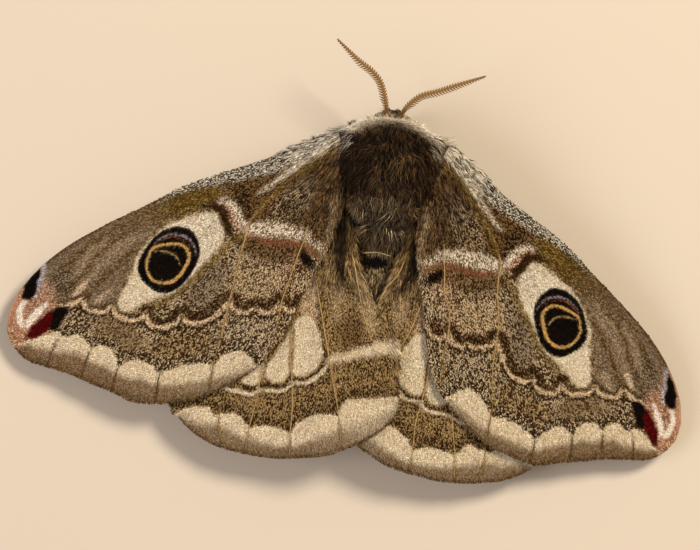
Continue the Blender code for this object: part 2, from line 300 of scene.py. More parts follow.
# veins in the wing's own frame, from the root to the margin
veins = {
    "forewing": {
        "stem": [(-0.5, 1.2), (4.0, 1.0), (8.5, 0.9), (12.0, 1.6), (15.5, 2.3), (21.0, 2.6),
                 (27.0, 2.0), (32.0, 0.9)],
        "upperBranch": [(15.5, 2.3), (20.0, 1.7), (25.0, 0.8), (30.0, -0.6), (32.6, -1.6)],
        "upperMiddle": [(15.5, 2.0), (20.0, 1.2), (24.0, -0.4), (28.7, -2.4), (32.6, -5.0),
                        (35.0, -7.2)],
        "middle": [(13.5, -0.2), (16.0, -1.0), (22.5, -1.4), (26.4, -4.1), (30.1, -7.2),
                   (32.2, -9.6)],
        "lowerMiddle": [(13.0, -2.2), (17.5, -4.2), (20.5, -5.2), (23.6, -6.0), (28.1, -9.8),
                        (29.9, -12.0)],
        "firstBranch": [(11.4, -2.2), (15.5, -3.9), (18.4, -5.6), (20.4, -7.7), (22.6, -9.9), (24.7, -12.1),
                        (26.2, -14.6)],
        "secondBranch": [(0.0, 1.6), (4.0, 1.15), (7.6, 0.0), (10.6, -1.5), (11.6, -2.8), (13.2, -4.8),
                         (15.4, -7.9), (17.4, -10.6), (19.3, -13.1), (21.0, -15.8)],
        "rear": [(0.5, -0.5), (3.0, -2.2), (5.3, -4.0), (6.2, -5.1), (7.5, -6.4), (9.3, -8.4), (10.8, -10.1),
                 (12.2, -12.3), (14.0, -14.6)],
    },
    "hindwing": {
        "front": [(0.0, 0.2), (6.0, 1.9), (13.0, 2.9), (20.0, 1.4), (25.5, -0.6)],
        "upper": [(3.0, 0.6), (9.0, 0.4), (14.5, 0.2), (20.0, -2.0), (26.2, -5.2)],
        "upperMiddle": [(14.5, 0.2), (18.5, -3.8), (24.1, -7.3), (25.6, -10.0)],
        "middle": [(10.0, -2.9), (14.5, -4.9), (17.6, -6.6), (19.2, -7.9), (22.2, -9.8), (24.4, -11.4)],
        "lowerMiddle": [(8.0, -3.0), (11.75, -5.15), (13.8, -6.9), (15.6, -9.0), (17.6, -11.2),
                        (19.6, -13.0), (21.4, -14.8)],
        "lower": [(0.8, -0.6), (4.0, -0.9), (6.9, -3.6), (9.3, -6.9), (11.75, -10.5), (13.0, -12.3),
                  (14.5, -14.6), (16.6, -17.2)],
        "rear": [(0.3, -1.1), (2.0, -3.2), (3.25, -5.15), (5.0, -7.75), (6.2, -9.8), (7.2, -11.8),
                 (8.3, -14.8), (8.9, -17.7)],
    },
}
relief = {"veinHeight": 0.13, "veinWidth": 0.22, "foldDepth": 0.16, "foldWidth": 1.3}

for wingName, shape in wingShapes.items():
    shape["frontPath"] = smoothPath(shape["front"], 90)
    shape["rearPath"] = smoothPath(shape["rear"], 120)
    shape["outline"] = np.vstack([shape["frontPath"], shape["rearPath"][::-1]])
    shape["veins"] = {name: smoothPath(path, 40) for name, path in veins[wingName].items()}


def veinDistance(points, shape):
    # distance to the nearest vein
    best = np.full(len(points), 1e9)
    for path in shape["veins"].values():
        best = np.minimum(best, pathDistance(points, path)[0])
    return best


def wingPoint(local, wingName, side):
    # from the wing's own frame to the body's: a low roof, with raised veins and shallow folds between
    shape = wingShapes[wingName]
    sweep = math.radians(shape["sweep"][side])
    u, v = local[:, 0] * shape["spread"][side], local[:, 1]
    out = shape["root"][0] + u * math.cos(sweep) + v * math.sin(sweep)
    along = shape["root"][1] - u * math.sin(sweep) + v * math.cos(sweep)
    x = -out if side == "left" else out
    height = (roof["top"] - roof["slope"] * np.hypot(x, roof["round"]) - roof["curve"] * x * x
              + roof["pitch"] * along)
    lift = 0.0
    if wingName == "hindwing" and side == "left":
        # the left hindwing laps over the right one
        lift = softStep(x, *roof["lapSide"]) * softStep(along, *roof["lapBack"])
    height = height - roof["layer"] * (shape["layer"] - lift)
    gap = veinDistance(patternPlace(local, wingName, side), shape)
    height = (height + relief["veinHeight"] * np.exp(-(gap / relief["veinWidth"]) ** 2)
              + relief["foldDepth"] * (np.exp(-(gap / relief["foldWidth"]) ** 2) - 0.5))
    return np.stack([x, along, height], axis=1)


def wingFrame(local, wingName, side):
    # place, direction of u, direction of v and upward normal, all in the body's frame
    step = 0.05
    here = wingPoint(local, wingName, side)
    alongU = unit(wingPoint(local + [step, 0], wingName, side) - here)
    alongV = unit(wingPoint(local + [0, step], wingName, side) - here)
    normal = unit(np.cross(alongU, alongV))
    normal *= np.sign(normal[:, 2:3])
    return here, alongU, alongV, normal


# Each zone has a dark pigment, a light pigment and the share of scales that take the light one.
pigments = {
    "umber": "#321e08", "straw": "#c2ac87", "bark": "#291704", "sand": "#8d7450", "olive": "#4f390f",
    "ochre": "#8f743a", "taupe": "#624f39", "fawn": "#917e65", "slate": "#2a1e10", "ash": "#bbab8d",
    "chalk": "#dfd5be", "bone": "#c3ae8c", "cream": "#dfd1b4", "wheat": "#c3ab84", "cocoa": "#785c39",
    "mud": "#4c361d", "black": "#0b0704", "soot": "#181009", "gold": "#cda25e", "rust": "#74472c",
    "rose": "#9a5c4c", "blush": "#c49c83", "crimson": "#600a0b", "wine": "#3d0405", "lilac": "#8d8589",
    "frost": "#c9c5c6", "snow": "#ece2d2", "tan": "#a68a5c", "brass": "#7d5a24", "peach": "#cfae83",
    "coral": "#a8705a", "shell": "#d9bf9c",
}
pigments = {name: linear(value) for name, value in pigments.items()}


class Coat:
    # the pigments of a set of scales or hairs, painted zone over zone
    def __init__(self, count, dark, light, share):
        self.dark = np.tile(pigments[dark], (count, 1))
        self.light = np.tile(pigments[light], (count, 1))
        self.share = np.full(count, float(share))

    def lay(self, mask, dark, light, share):
        mask = np.clip(mask, 0, 1)
        self.dark += mask[:, None] * (pigments[dark] - self.dark)
        self.light += mask[:, None] * (pigments[light] - self.light)
        self.share += mask * (share - self.share)

    def laySpots(self, points, spots):
        for strength, centre, longHalf, shortHalf, angle, soft, *paint in spots:
            gap = ellipseDistance(points, centre, longHalf, shortHalf, angle)
            self.lay(strength * band(gap, 0, soft), *paint)

    def layLines(self, points, lines, marks, mask=1.0):
        for name, strength, halfWidth, soft, *paint in lines:
            self.lay(strength * mask * stroke(points, marks[name], halfWidth, soft), *paint)

    def layVeins(self, points, wingName, names, mask, halfWidth, soft, *paint):
        for name in names:
            gap = pathDistance(points, wingShapes[wingName]["veins"][name])[0]
            self.lay(mask * band(gap, halfWidth, soft), *paint)

    def mean(self):
        return self.dark + self.share[:, None] * (self.light - self.dark)

    def pick(self, spread=0.16):
        # each scale takes one of its two pigments, a little lighter or darker than its neighbours
        lit = dice.random(len(self.share)) < self.share
        colour = np.where(lit[:, None], self.light, self.dark)
        return colour * (1 + spread * dice.standard_normal(len(colour)))[:, None].clip(0.4, 1.7)


def band(distance, halfWidth, soft=0.15):
    # 1 within halfWidth of a line, fading over the soft edge
    return 1 - softStep(distance, halfWidth - soft, halfWidth + soft)


def stroke(points, path, halfWidth, soft=0.15, steps=16):
    # a painted line; its half width may change evenly from start to end
    gap, where = pathDistance(points, smoothPath(path, steps))
    return band(gap, np.interp(where, np.linspace(0, 1, np.size(halfWidth)), np.ravel(halfWidth)), soft)


def arcChain(arcs):
    # one line of scallops, each through its two cusps and the points between
    return np.vstack([smoothPath(arc, 12) for arc in arcs])


def closedPath(points, steps=40):
    return smoothPath(list(points) + [points[0]], steps)[:-1]


def filled(points, path, soft):
    # a painted patch with the path as its edge
    return band(-signedDistance(points, closedPath(path)), 0, soft)


def ellipseDistance(points, centre, longHalf, shortHalf, angle):
    turn = math.radians(angle)
    offset = points - centre
    a = offset[:, 0] * math.cos(turn) + offset[:, 1] * math.sin(turn)
    b = -offset[:, 0] * math.sin(turn) + offset[:, 1] * math.cos(turn)
    return (np.hypot(a / longHalf, b / shortHalf) - 1) * (longHalf + shortHalf) / 2


foreMarks = {
    "basalZone": [(-3, 6), (14.6, 5.0), (13.2, 1.8), (11.6, 0.6), (10.9, -1.6), (9.9, -1.9), (8.3, -2.4),
                  (6.9, -3.4), (5.9, -4.8), (4.6, -6.6), (-3, -9)],
    "costalZone": [(12.1, 6), (12.1, 2.0), (13.6, 1.5), (15.5, 1.5), (18.0, 1.3), (20.6, 0.6), (22.4, -0.6),
                   (24.2, -2.2), (25.6, -3.4), (26.3, -4.2), (27.5, -4.2), (28.5, -3.8), (28.9, -2.7),
                   (31.6, -2.1), (33.5, -1.6), (39, 0), (39, 6)],
    # streaks in the outer front zone: dark ones along the raised veins are painted shade, pale ones between
    # them painted light
    "veinShadeStreaks": [[(19.0, 3.1), (23.0, 2.8), (26.5, 2.3), (29.5, 1.0)], [(21.0, 2.4), (24.6, 1.6),
                      (26.0, 1.1), (27.9, 0.0), (29.8, -0.8), (31.0, -1.6)], [(20.8, 0.5), (23.1, -0.1),
                      (24.8, -0.8), (26.4, -1.3), (28.0, -1.9), (28.8, -2.3)]],
    "veinLightStreaks": [[(20.0, 1.5), (23.0, 1.1), (25.5, 0.3), (27.6, -0.8)], [(24.5, 2.2), (26.5, 1.6),
                    (28.3, 0.5), (29.8, -0.2)]],
    "whiteField": [(13.1, -0.6), (13.2, 0.2), (13.8, 0.8), (14.8, 1.15), (16.3, 1.25), (18.0, 1.35),
                   (20.4, 0.7), (22.2, -0.4), (23.3, -1.7), (24.8, -2.9), (25.9, -4.1), (26.0, -4.8),
                   (24.9, -5.2), (23.0, -4.95), (21.5, -5.1), (20.2, -5.2), (18.2, -4.6), (16.3, -3.8),
                   (14.9, -3.1), (13.7, -2.4), (13.3, -1.6)],
    "whiteBand": [(6.0, -4.9), (6.9, -4.2), (7.8, -3.6), (8.8, -3.05), (9.7, -2.65), (10.5, -2.2)],
    "bandFoot": [(6.6, -4.6), (5.7, -5.6), (5.1, -6.6)],
    "redEdge": [(5.6, -7.2), (6.0, -6.4), (6.5, -5.6), (7.3, -5.15), (8.3, -4.7), (9.4, -4.2), (10.2, -3.7),
                (10.7, -3.1), (11.0, -2.5)],
    "darkBehind": [(7.2, -6.0), (8.6, -5.4), (10.0, -4.9), (11.0, -4.1), (11.7, -3.4)],
    "darkBar": [(14.3, 1.75), (13.2, 1.15), (12.75, 0.2), (12.75, -0.9), (12.75, -1.7), (12.3, -2.5)],
    "pinkBar": [(12.3, 1.4), (11.75, 0.8), (11.55, -0.3), (11.5, -1.2), (11.3, -1.9)],
    "paleStreak": [(-1.0, 3.1), (0.9, 2.4), (2.7, 2.0), (4.7, 1.65), (6.4, 1.25), (7.8, 0.9), (8.7, 0.8)],
    "oliveVein": [(0.3, 1.8), (2.9, 1.35), (5.5, 0.7), (7.9, -0.15), (9.2, -0.85), (10.4, -1.5)],
    "oliveEdge": [(11.4, -2.1), (14.3, -3.2), (17.2, -4.4), (19.5, -5.2), (23.2, -5.9)],
    "marginHair": [(1.9, -2.6), (2.7, -3.8), (3.4, -5.1), (4.2, -6.2), (5.0, -7.2)],
    "crescents": [[(31.8, -2.0), (30.4, -2.35), (28.75, -2.4)], [(28.75, -2.4), (29.05, -3.2),
                  (28.5, -3.85), (27.5, -4.2), (26.4, -4.1)], [(26.4, -4.1), (26.4, -5.1), (25.4, -6.05),
                  (24.3, -6.3), (23.6, -6.0)], [(23.6, -6.0), (23.8, -7.0), (23.1, -7.75), (21.8, -8.05),
                  (20.4, -7.7)], [(20.4, -7.7), (20.0, -8.5), (18.4, -8.95), (16.8, -8.65), (15.4, -8.0)],
                  [(15.4, -8.0), (15.3, -9.0), (14.4, -9.6), (13.2, -9.65)], [(13.2, -9.65), (12.8, -10.35),
                  (11.7, -10.55), (10.8, -10.1)], [(10.8, -10.1), (10.5, -11.1), (9.5, -11.35),
                  (8.6, -10.9)]],
    "cells": [[(35.5, -4.1), (33.6, -4.2), (32.4, -4.5), (32.3, -5.05)], [(32.3, -5.05), (31.0, -5.25),
              (30.15, -6.1), (30.1, -7.15)], [(30.1, -7.15), (28.9, -7.3), (28.1, -8.3), (28.15, -9.8)],
              [(28.15, -9.8), (26.6, -9.8), (25.1, -11.0), (24.7, -12.1)], [(24.7, -12.1), (23.0, -12.0),
              (20.7, -12.55), (19.3, -13.2)], [(19.3, -13.2), (17.8, -12.65), (16.1, -13.2),
              (15.4, -14.9)]],
    "cellEnd": [(14.5, -17.0), (30, -18), (40, -8), (38, -3.8)],
    "taupeEdge": [(36.0, -4.2), (34.7, -5.3), (33.2, -6.2), (31.5, -7.1), (30.5, -8.4), (29.2, -9.6),
                  (28.2, -10.9), (26.4, -12.0), (24.9, -13.1), (22.5, -13.9), (20.0, -14.45),
                  (18.0, -14.85), (15.4, -15.3)],
    "blackOval": [(31.75, 2.1), (32.4, 1.95), (33.3, 1.35), (34.2, 0.5), (34.5, -0.05), (34.15, -0.4),
                  (33.45, -0.25), (32.7, 0.5), (32.0, 1.4)],
    "blackPatch": [(31.7, -2.0), (30.7, -2.6), (31.1, -3.25), (32.2, -4.0), (33.1, -4.0), (33.0, -2.9)],
    "crimson": [(31.9, -2.0), (33.2, -2.45), (35.0, -3.1), (35.7, -3.7), (35.0, -4.05), (33.4, -3.95),
                (32.6, -3.0)],
    "tipStreak": [(31.2, 2.2), (31.8, 1.3), (32.5, 0.4), (33.3, -0.3)],
    "chevron": [[(32.5, -1.4), (33.9, -1.95), (35.2, -2.65)], [(34.5, -0.5), (35.35, -1.15), (35.6, -2.5)]],
    "eyeOutline": [(16.0, -1.2), (16.25, -0.1), (16.95, 0.55), (18.0, 0.92), (19.3, 0.85), (20.6, 0.35),
                   (21.9, -0.6), (22.6, -1.5), (22.75, -2.5), (22.5, -3.4), (21.95, -4.3), (21.2, -4.85),
                   (20.4, -4.97), (19.3, -4.8), (18.0, -4.15), (16.9, -3.2), (16.2, -2.3)],
    "goldRing": [(17.2, -2.1), (17.4, -1.2), (18.2, -0.6), (19.3, -0.28), (20.5, -0.2), (21.25, -0.8),
                 (21.85, -1.6), (22.0, -2.5), (21.75, -3.4), (21.0, -3.98), (20.1, -4.2), (19.1, -4.0),
                 (18.0, -3.3), (17.4, -2.7)],
    "lilacArc": [(16.75, -2.6), (16.6, -1.6), (16.85, -0.8), (17.5, -0.1), (18.4, 0.28), (19.4, 0.3),
                 (20.2, 0.05)],
    "fineArc": [(20.5, -0.6), (19.6, -1.0), (18.95, -1.45), (18.6, -2.1), (18.65, -2.9)],
}
# soft spots: strength, centre, half length, half width, angle, softness, then the paint
foreSpots = {
    "ground": [
        (0.9, (12.4, -7.3), 3.0, 1.9, 35, 1.0, "mud", "wheat", 0.58),
        (0.8, (17.0, -5.8), 3.0, 1.3, -35, 0.8, "umber", "fawn", 0.55),
        (0.8, (14.6, -11.6), 3.2, 1.7, -35, 0.8, "bark", "bone", 0.46),
        (0.8, (21.5, -10.3), 3.4, 1.3, 15, 0.8, "umber", "tan", 0.42),
        (0.8, (27.0, -7.0), 3.0, 1.7, 55, 0.9, "mud", "sand", 0.6)],
    "costa": [(0.9, (10.35, 0.4), 1.7, 0.7, 90, 0.6, "soot", "cocoa", 0.3)],
    "band": [
        (0.2, (8.6, -7.6), 3.0, 1.2, -45, 0.8, "rust", "blush", 0.45),
        (1.0, (6.9, -7.0), 1.05, 0.6, 80, 0.3, "black", "umber", 0.3)],
    "scallops": [
        (0.95, (28.8, -1.3), 1.0, 0.3, -20, 0.25, "fawn", "shell", 0.85),
        (0.6, (27.0, -2.9), 1.1, 0.4, -15, 0.3, "fawn", "shell", 0.6)],
}
# painted lines: name, strength, half width, softness, then the paint
foreLines = {
    "costa": [
        ("oliveVein", 0.8, (0.28, 0.3, 0.22, 0.2), 0.22, "olive", "ochre", 0.45),
        ("paleStreak", 0.95, (0.38, 0.3, 0.32, 0.3, 0.1), 0.3, "sand", "chalk", 0.66)],
    "bandShade": [("darkBehind", 0.9, (1.0, 1.25, 0.9), 0.6, "bark", "cocoa", 0.5)],
    "band": [
        ("bandFoot", 0.7, (0.5, 0.35), 0.3, "cocoa", "chalk", 0.42),
        ("whiteBand", 1.0, (0.45, 0.72, 0.75, 0.6), 0.42, "cocoa", "chalk", 0.6)],
    "bars": [
        ("darkBar", 1.0, (0.15, 0.34, 0.45, 0.38, 0.15), 0.22, "bark", "mud", 0.3),
        ("oliveEdge", 0.75, (0.25, 0.32, 0.2), 0.28, "olive", "ochre", 0.5)],
}
# pale cells along the margin: dark line behind them (strength, place, light pigment, share), share of
# cream, far side of the taupe, its fade along the wing, its edge and share, dark rim, dark veins
foreMargin = {
    "behind": (0.7, 0.5, "straw", 0.24), "cream": 0.68, "outside": [(14, -18), (41, -18), (41, -4)],
    "fade": ([15, 19, 25, 29], [0.35, 0.75, 0.95, 1.0]), "edge": (-0.45, 0.55), "taupe": 0.45,
    "rim": (0.6, 0.6), "rimFrom": 15, "veinStrength": 0.55, "veinWidth": (0.15, 0.14),
    "veins": ("upperMiddle", "middle", "lowerMiddle", "firstBranch", "secondBranch"),
}
# where the right side's markings sit off the left side's: place, then the way back to the left's place
sideShift = {
    "forewing": [(5, 2, 0, 0), (5, -4, 0, 0), (0, 0, 0, 0), (11.4, -2.7, -0.2, -0.1), (11.7, 0, -0.1, -0.2),
                 (7.1, -7.0, -0.2, -0.1), (10.9, -10.6, -1.2, 0), (13.0, -9.8, -1.0, 0),
                 (16.0, -7.4, -0.6, -0.6), (14.0, 3.0, -0.2, 0), (16.4, -1.5, -0.35, 0),
                 (23.0, -2.2, -0.35, -0.2), (19.8, 0.9, -0.4, 0), (20.5, -4.8, -0.4, -0.1),
                 (21.5, -7.9, -1.1, 0.15), (24.3, -6.2, -0.6, 0.2), (26.9, -4.15, -0.5, 0.05),
                 (29.2, -2.5, -0.5, 0.1), (32.1, -2.1, -0.4, 0.1), (26.0, -12.1, -1.35, 0),
                 (20.9, -13.1, -1.6, 0.1), (16.4, -14.6, -1.0, -0.2), (28.7, -9.4, -0.5, -0.55),
                 (30.7, -7.0, -0.6, -0.35), (33.1, -4.9, -0.7, 0.1), (33.4, 0.4, -0.35, 0.4),
                 (37.5, -3.4, -0.5, 0.6)],
    "hindwing": [(2, -3, 0, 0), (6, -8, 0.6, 0.7), (11.6, -8.9, 1.0, 1.4), (18.2, -14.2, 1.4, 1.25),
                 (21.1, -11.1, 1.15, 1.3), (23.4, -9.0, 0.9, 1.6), (14.0, 1.0, 0.5, 0.5)],
}


def patternPlace(local, wingName, side):
    # the place on the left wing that carries the same marking
    if side == "left":
        return local
    shifts = np.array(sideShift[wingName], float)
    gap = ((local[:, None] - shifts[None, :, :2]) ** 2).sum(axis=2)
    weight = 1 / (gap + 0.6) ** 2
    return local + (weight @ shifts[:, 2:]) / weight.sum(axis=1, keepdims=True)


def trembleOf(points, seeds):
    # small shifts that break up the edges of the markings
    return np.stack([mottle(points[:, 0], points[:, 1], 0.5, seed) - 0.5 for seed in seeds], axis=1)


def layMarginCells(coat, p, points, rearGap, wingName, marks, values, behindMask=1.0):
    # pale cells along the margin, shading to taupe and a thin dark rim
    u = p[:, 0]
    cells = signedDistance(p, np.vstack([arcChain(marks["cells"]), marks["cellEnd"]]))
    strength, offset, light, share = values["behind"]
    coat.lay(strength * band(np.abs(cells + offset), 0.5, 0.35) * behindMask, "bark", light, share)
    coat.lay(band(-cells, -0.02, 0.1), "wheat", "cream", values["cream"])
    taupe = signedDistance(p, np.vstack([smoothPath(marks["taupeEdge"], 40), values["outside"]]))
    inCells = band(-cells, -0.3, 0.2)
    fade = np.interp(u, *values["fade"])
    coat.lay(inCells * fade * softStep(taupe, *values["edge"]), "cocoa", "fawn", values["taupe"])
    strength, share = values["rim"]
    coat.lay(strength * inCells * fade * softStep(rearGap, 1.4, 0.3), "mud", "cocoa", share)
    coat.lay(0.8 * inCells * softStep(rearGap, 0.4, 0.15) * (u > values["rimFrom"]), "mud", "cocoa", 0.4)
    shade = values["veinStrength"] * inCells * softStep(cells, 0.2, 0.9)
    coat.layVeins(points, wingName, values["veins"], shade, *values["veinWidth"], "mud", "cocoa", 0.5)


def foreCoat(points, edges):
    # points lie in the pattern's frame; edges holds the distances to the wing's own front and rear edge
    marks = foreMarks
    tremble = trembleOf(points, (1, 2))
    p = points + 0.25 * tremble
    crisp = points + 0.05 * tremble
    u, v = p[:, 0], p[:, 1]
    patch = mottle(u, v, 2.2)
    frontGap, rearGap = edges
    coat = Coat(len(p), "umber", "straw", 0.43)
    coat.share += 0.16 * (patch - 0.5)
    coat.laySpots(p, foreSpots["ground"])
    layBasalThird(coat, p, patch)
    layCosta(coat, p, frontGap)
    # antemedial band: pale, with a red-brown outer edge and a dark shade behind that
    coat.layLines(p, foreLines["bandShade"], marks)
    coat.lay(0.9 * stroke(p, marks["redEdge"], (0.4, 0.25, 0.25), 0.3, 24), "brass", "rust", 0.6)
    coat.lay(0.65 * stroke(p, marks["redEdge"][2:], (0.1, 0.28), 0.28), "wine", "rose", 0.5)
    coat.layLines(p, foreLines["band"], marks)
    coat.laySpots(p, foreSpots["band"])
    coat.lay(0.65 * stroke(p, marks["marginHair"], (0.2, 0.35, 0.45), 0.35), "cocoa", "bone", 0.4)
    # white field round the eyespot, with a pink and a dark bar before it
    field = signedDistance(p, closedPath(marks["whiteField"], 60))
    white = band(-field, -0.1, 0.28)
    coat.lay(0.8 * band(np.abs(field), 0.22, 0.25), "olive", "tan", 0.5)
    coat.lay(white, "bone", "chalk", 0.74)
    coat.lay(0.5 * white * softStep(u, 16.8, 14.6), "fawn", "chalk", 0.62)
    coat.lay(0.6 * band(-field, -0.1, 0.3) * softStep(u, 20, 24), "wheat", "cream", 0.7)
    coat.lay(stroke(p, marks["pinkBar"], (0.35, 0.6, 0.55), 0.25), "cocoa", "chalk", 0.6)
    coat.lay(0.7 * stroke(p + (-0.45, 0.0), marks["pinkBar"], (0.2, 0.3, 0.2), 0.2), "rust", "blush", 0.42)
    coat.layLines(p, foreLines["bars"], marks)
    beyond = layScallops(coat, p)
    veinTint = 0.65 * softStep(u, 5.0, 7.5)
    coat.layVeins(points, "forewing", ("secondBranch", "rear"), veinTint, 0.1, 0.16, "brass", "tan", 0.6)
    coat.laySpots(p, foreSpots["scallops"])
    layMarginCells(coat, p, points, rearGap, "forewing", marks, foreMargin, (u > 15) * (beyond > 0.8))
    layTip(coat, p, rearGap)
    layEyespot(coat, crisp, u + v)
    return coat


def layBasalThird(coat, p, patch):
    # dark brown, with greyer grains in the middle
    basal = signedDistance(p, np.array(foreMarks["basalZone"], float))
    inBasal = band(-basal, 0, 0.5)
    middle = band(ellipseDistance(p, (6.2, -1.5), 2.8, 1.3, -25), 0, 1.0)
    coat.lay(band(-basal, 0.2, 0.35), "bark", "cocoa", 0.5)
    coat.lay(0.75 * inBasal * middle, "bark", "straw", 0.3)
    coat.lay(0.6 * inBasal * softStep(patch, 0.5, 0.9), "umber", "sand", 0.4)


def layCosta(coat, p, frontGap):
    # smooth grey-brown front and outer zone, olive towards the root, with fine dark streaks along the veins
    # as painted shade and paler ones between them as painted light
    u, v = p[:, 0], p[:, 1]
    inZone = band(-signedDistance(p, np.array(foreMarks["costalZone"], float)), 0.1, 0.4)
    olive = band(ellipseDistance(p, (14.5, 2.4), 2.6, 1.0, -8), 0, 0.7)
    darker = band(ellipseDistance(p, (30.0, 0.1), 1.5, 1.2, -40), 0, 0.9)
    coat.lay(inZone, "taupe", "fawn", 0.5)
    coat.lay(0.9 * inZone * (1 - softStep(u, 15.5, 24)) * softStep(v, 0.6, 2.4), "olive", "ochre", 0.22)
    coat.lay(0.7 * inZone * olive, "olive", "ochre", 0.4)
    # dark olive streaks along the veins are painted shade, pale ones between them painted light
    for path in foreMarks["veinShadeStreaks"]:
        coat.lay(0.8 * inZone * stroke(p, path, (0.1, 0.28, 0.25), 0.28), "olive", "sand", 0.28)
    for path in foreMarks["veinLightStreaks"]:
        coat.lay(0.45 * inZone * stroke(p, path, (0.2, 0.45, 0.3), 0.4), "fawn", "straw", 0.4)
    coat.lay(0.6 * inZone * darker, "bark", "fawn", 0.38)
    # grey costa, widest near the root, with a pale streak behind it
    costaWidth = np.interp(u, [-2, 6, 11, 15, 20], [1.4, 1.7, 1.3, 0.8, 0.35])
    costaShare = np.interp(u, [0, 4, 8, 11, 15, 20], [0.64, 0.58, 0.38, 0.4, 0.42, 0.28])
    coat.lay(band(frontGap, costaWidth, 0.35) * softStep(u, 22, 15), "slate", "chalk", costaShare)
    coat.lay(band(frontGap, 0.4, 0.25) * softStep(u, 16, 20) * softStep(u, 33, 31), "umber", "cocoa", 0.4)
    coat.layLines(p, foreLines["costa"], foreMarks)
    coat.laySpots(p, foreSpots["costa"])


def layScallops(coat, p):
    # line of scallops behind the eyespot: dark within, pale line, fine dark line without
    u, v = p[:, 0], p[:, 1]
    arcs = foreMarks["crescents"]
    beyond = signedDistance(p, np.vstack([arcChain(arcs), [(6, -18), (40, -18), (40, -1)]]))
    near = (u > 8.6) & (u < 32.0)
    deep = np.interp(u, [9, 15, 16, 20, 23, 26], [0.85, 0.8, 0.95, 0.9, 0.6, 0.25])
    pale = np.interp(u, [9, 16, 20], [0.6, 0.72, 0.85])
    coat.lay(0.9 * near * band(np.abs(beyond + 0.25 + deep / 2), deep / 2, 0.25), "bark", "cocoa", 0.24)
    coat.lay(0.8 * near * band(np.abs(beyond - 0.42), 0.14, 0.12), "bark", "sand", 0.15)
    coat.lay(0.95 * near * band(np.abs(beyond), 0.19, 0.12), "cocoa", "shell", pale)
    for arc in arcs[:-1]:
        coat.lay(0.7 * band(np.hypot(u - arc[-1][0], v - arc[-1][1]), 0.22, 0.15), "umber", "sand", 0.3)
    return beyond


def layTip(coat, p, rearGap):
    # tip: black oval, white chevron, crimson streak
    u, v = p[:, 0], p[:, 1]
    coat.lay(softStep(u, 30.8, 32.2) * softStep(v, -4.5, -3.2), "cocoa", "blush", 0.5)
    coat.lay(0.9 * softStep(u + 0.25 * v, 34.2, 35.4) * softStep(v, -4.4, -3.6), "coral", "peach", 0.35)
    fringe = softStep(u, 33.4, 35.4) * softStep(rearGap, 1.0, 0.3) * softStep(v, -5.0, -3.8)
    coat.lay(0.6 * fringe, "rust", "peach", 0.45)
    coat.lay(stroke(p, foreMarks["tipStreak"], (0.15, 0.24, 0.12), 0.15), "lilac", "frost", 0.35)
    for arm in foreMarks["chevron"]:
        coat.lay(0.75 * stroke(p, arm, 0.5, 0.25, 8), "coral", "blush", 0.5)
        coat.lay(stroke(p, arm, (0.2, 0.32, 0.34), 0.14, 8), "chalk", "snow", 0.7)
    coat.lay(filled(p, foreMarks["blackPatch"], 0.16), "black", "soot", 0.3)
    coat.lay(filled(p, foreMarks["crimson"], 0.14), "wine", "crimson", 0.45)
    coat.lay(filled(p, foreMarks["blackOval"], 0.12), "black", "soot", 0.2)


def layEyespot(coat, crisp, outward):
    # eyespot: black disc, lavender arc, gold ring, dark centre with a fine arc
    arc = foreMarks["lilacArc"]
    ring = -signedDistance(crisp, closedPath(foreMarks["eyeOutline"], 60))
    coat.lay(band(ring, 0, 0.08), "black", "soot", 0.3)
    coat.lay(stroke(crisp, arc, (0.05, 0.12, 0.14, 0.1, 0.04), 0.08, 24), "mud", "lilac", 0.62)
    coat.lay(stroke(crisp + (-0.27, 0.22), arc[1:], (0.02, 0.08, 0.09, 0.04), 0.06, 24), "wine", "rust", 0.6)
    gold = signedDistance(crisp, closedPath(foreMarks["goldRing"], 60))
    wide = np.interp(outward, [15, 17, 19], [0.17, 0.15, 0.12])
    coat.lay(band(np.abs(gold - wide), wide, 0.06), "tan", "gold", 0.75)
    coat.lay(band(-gold, -2 * wide - 0.04, 0.05), "black", "soot", 0.5)
    coat.lay(stroke(crisp, foreMarks["fineArc"], (0.03, 0.09, 0.09, 0.03), 0.06), "sand", "tan", 0.6)


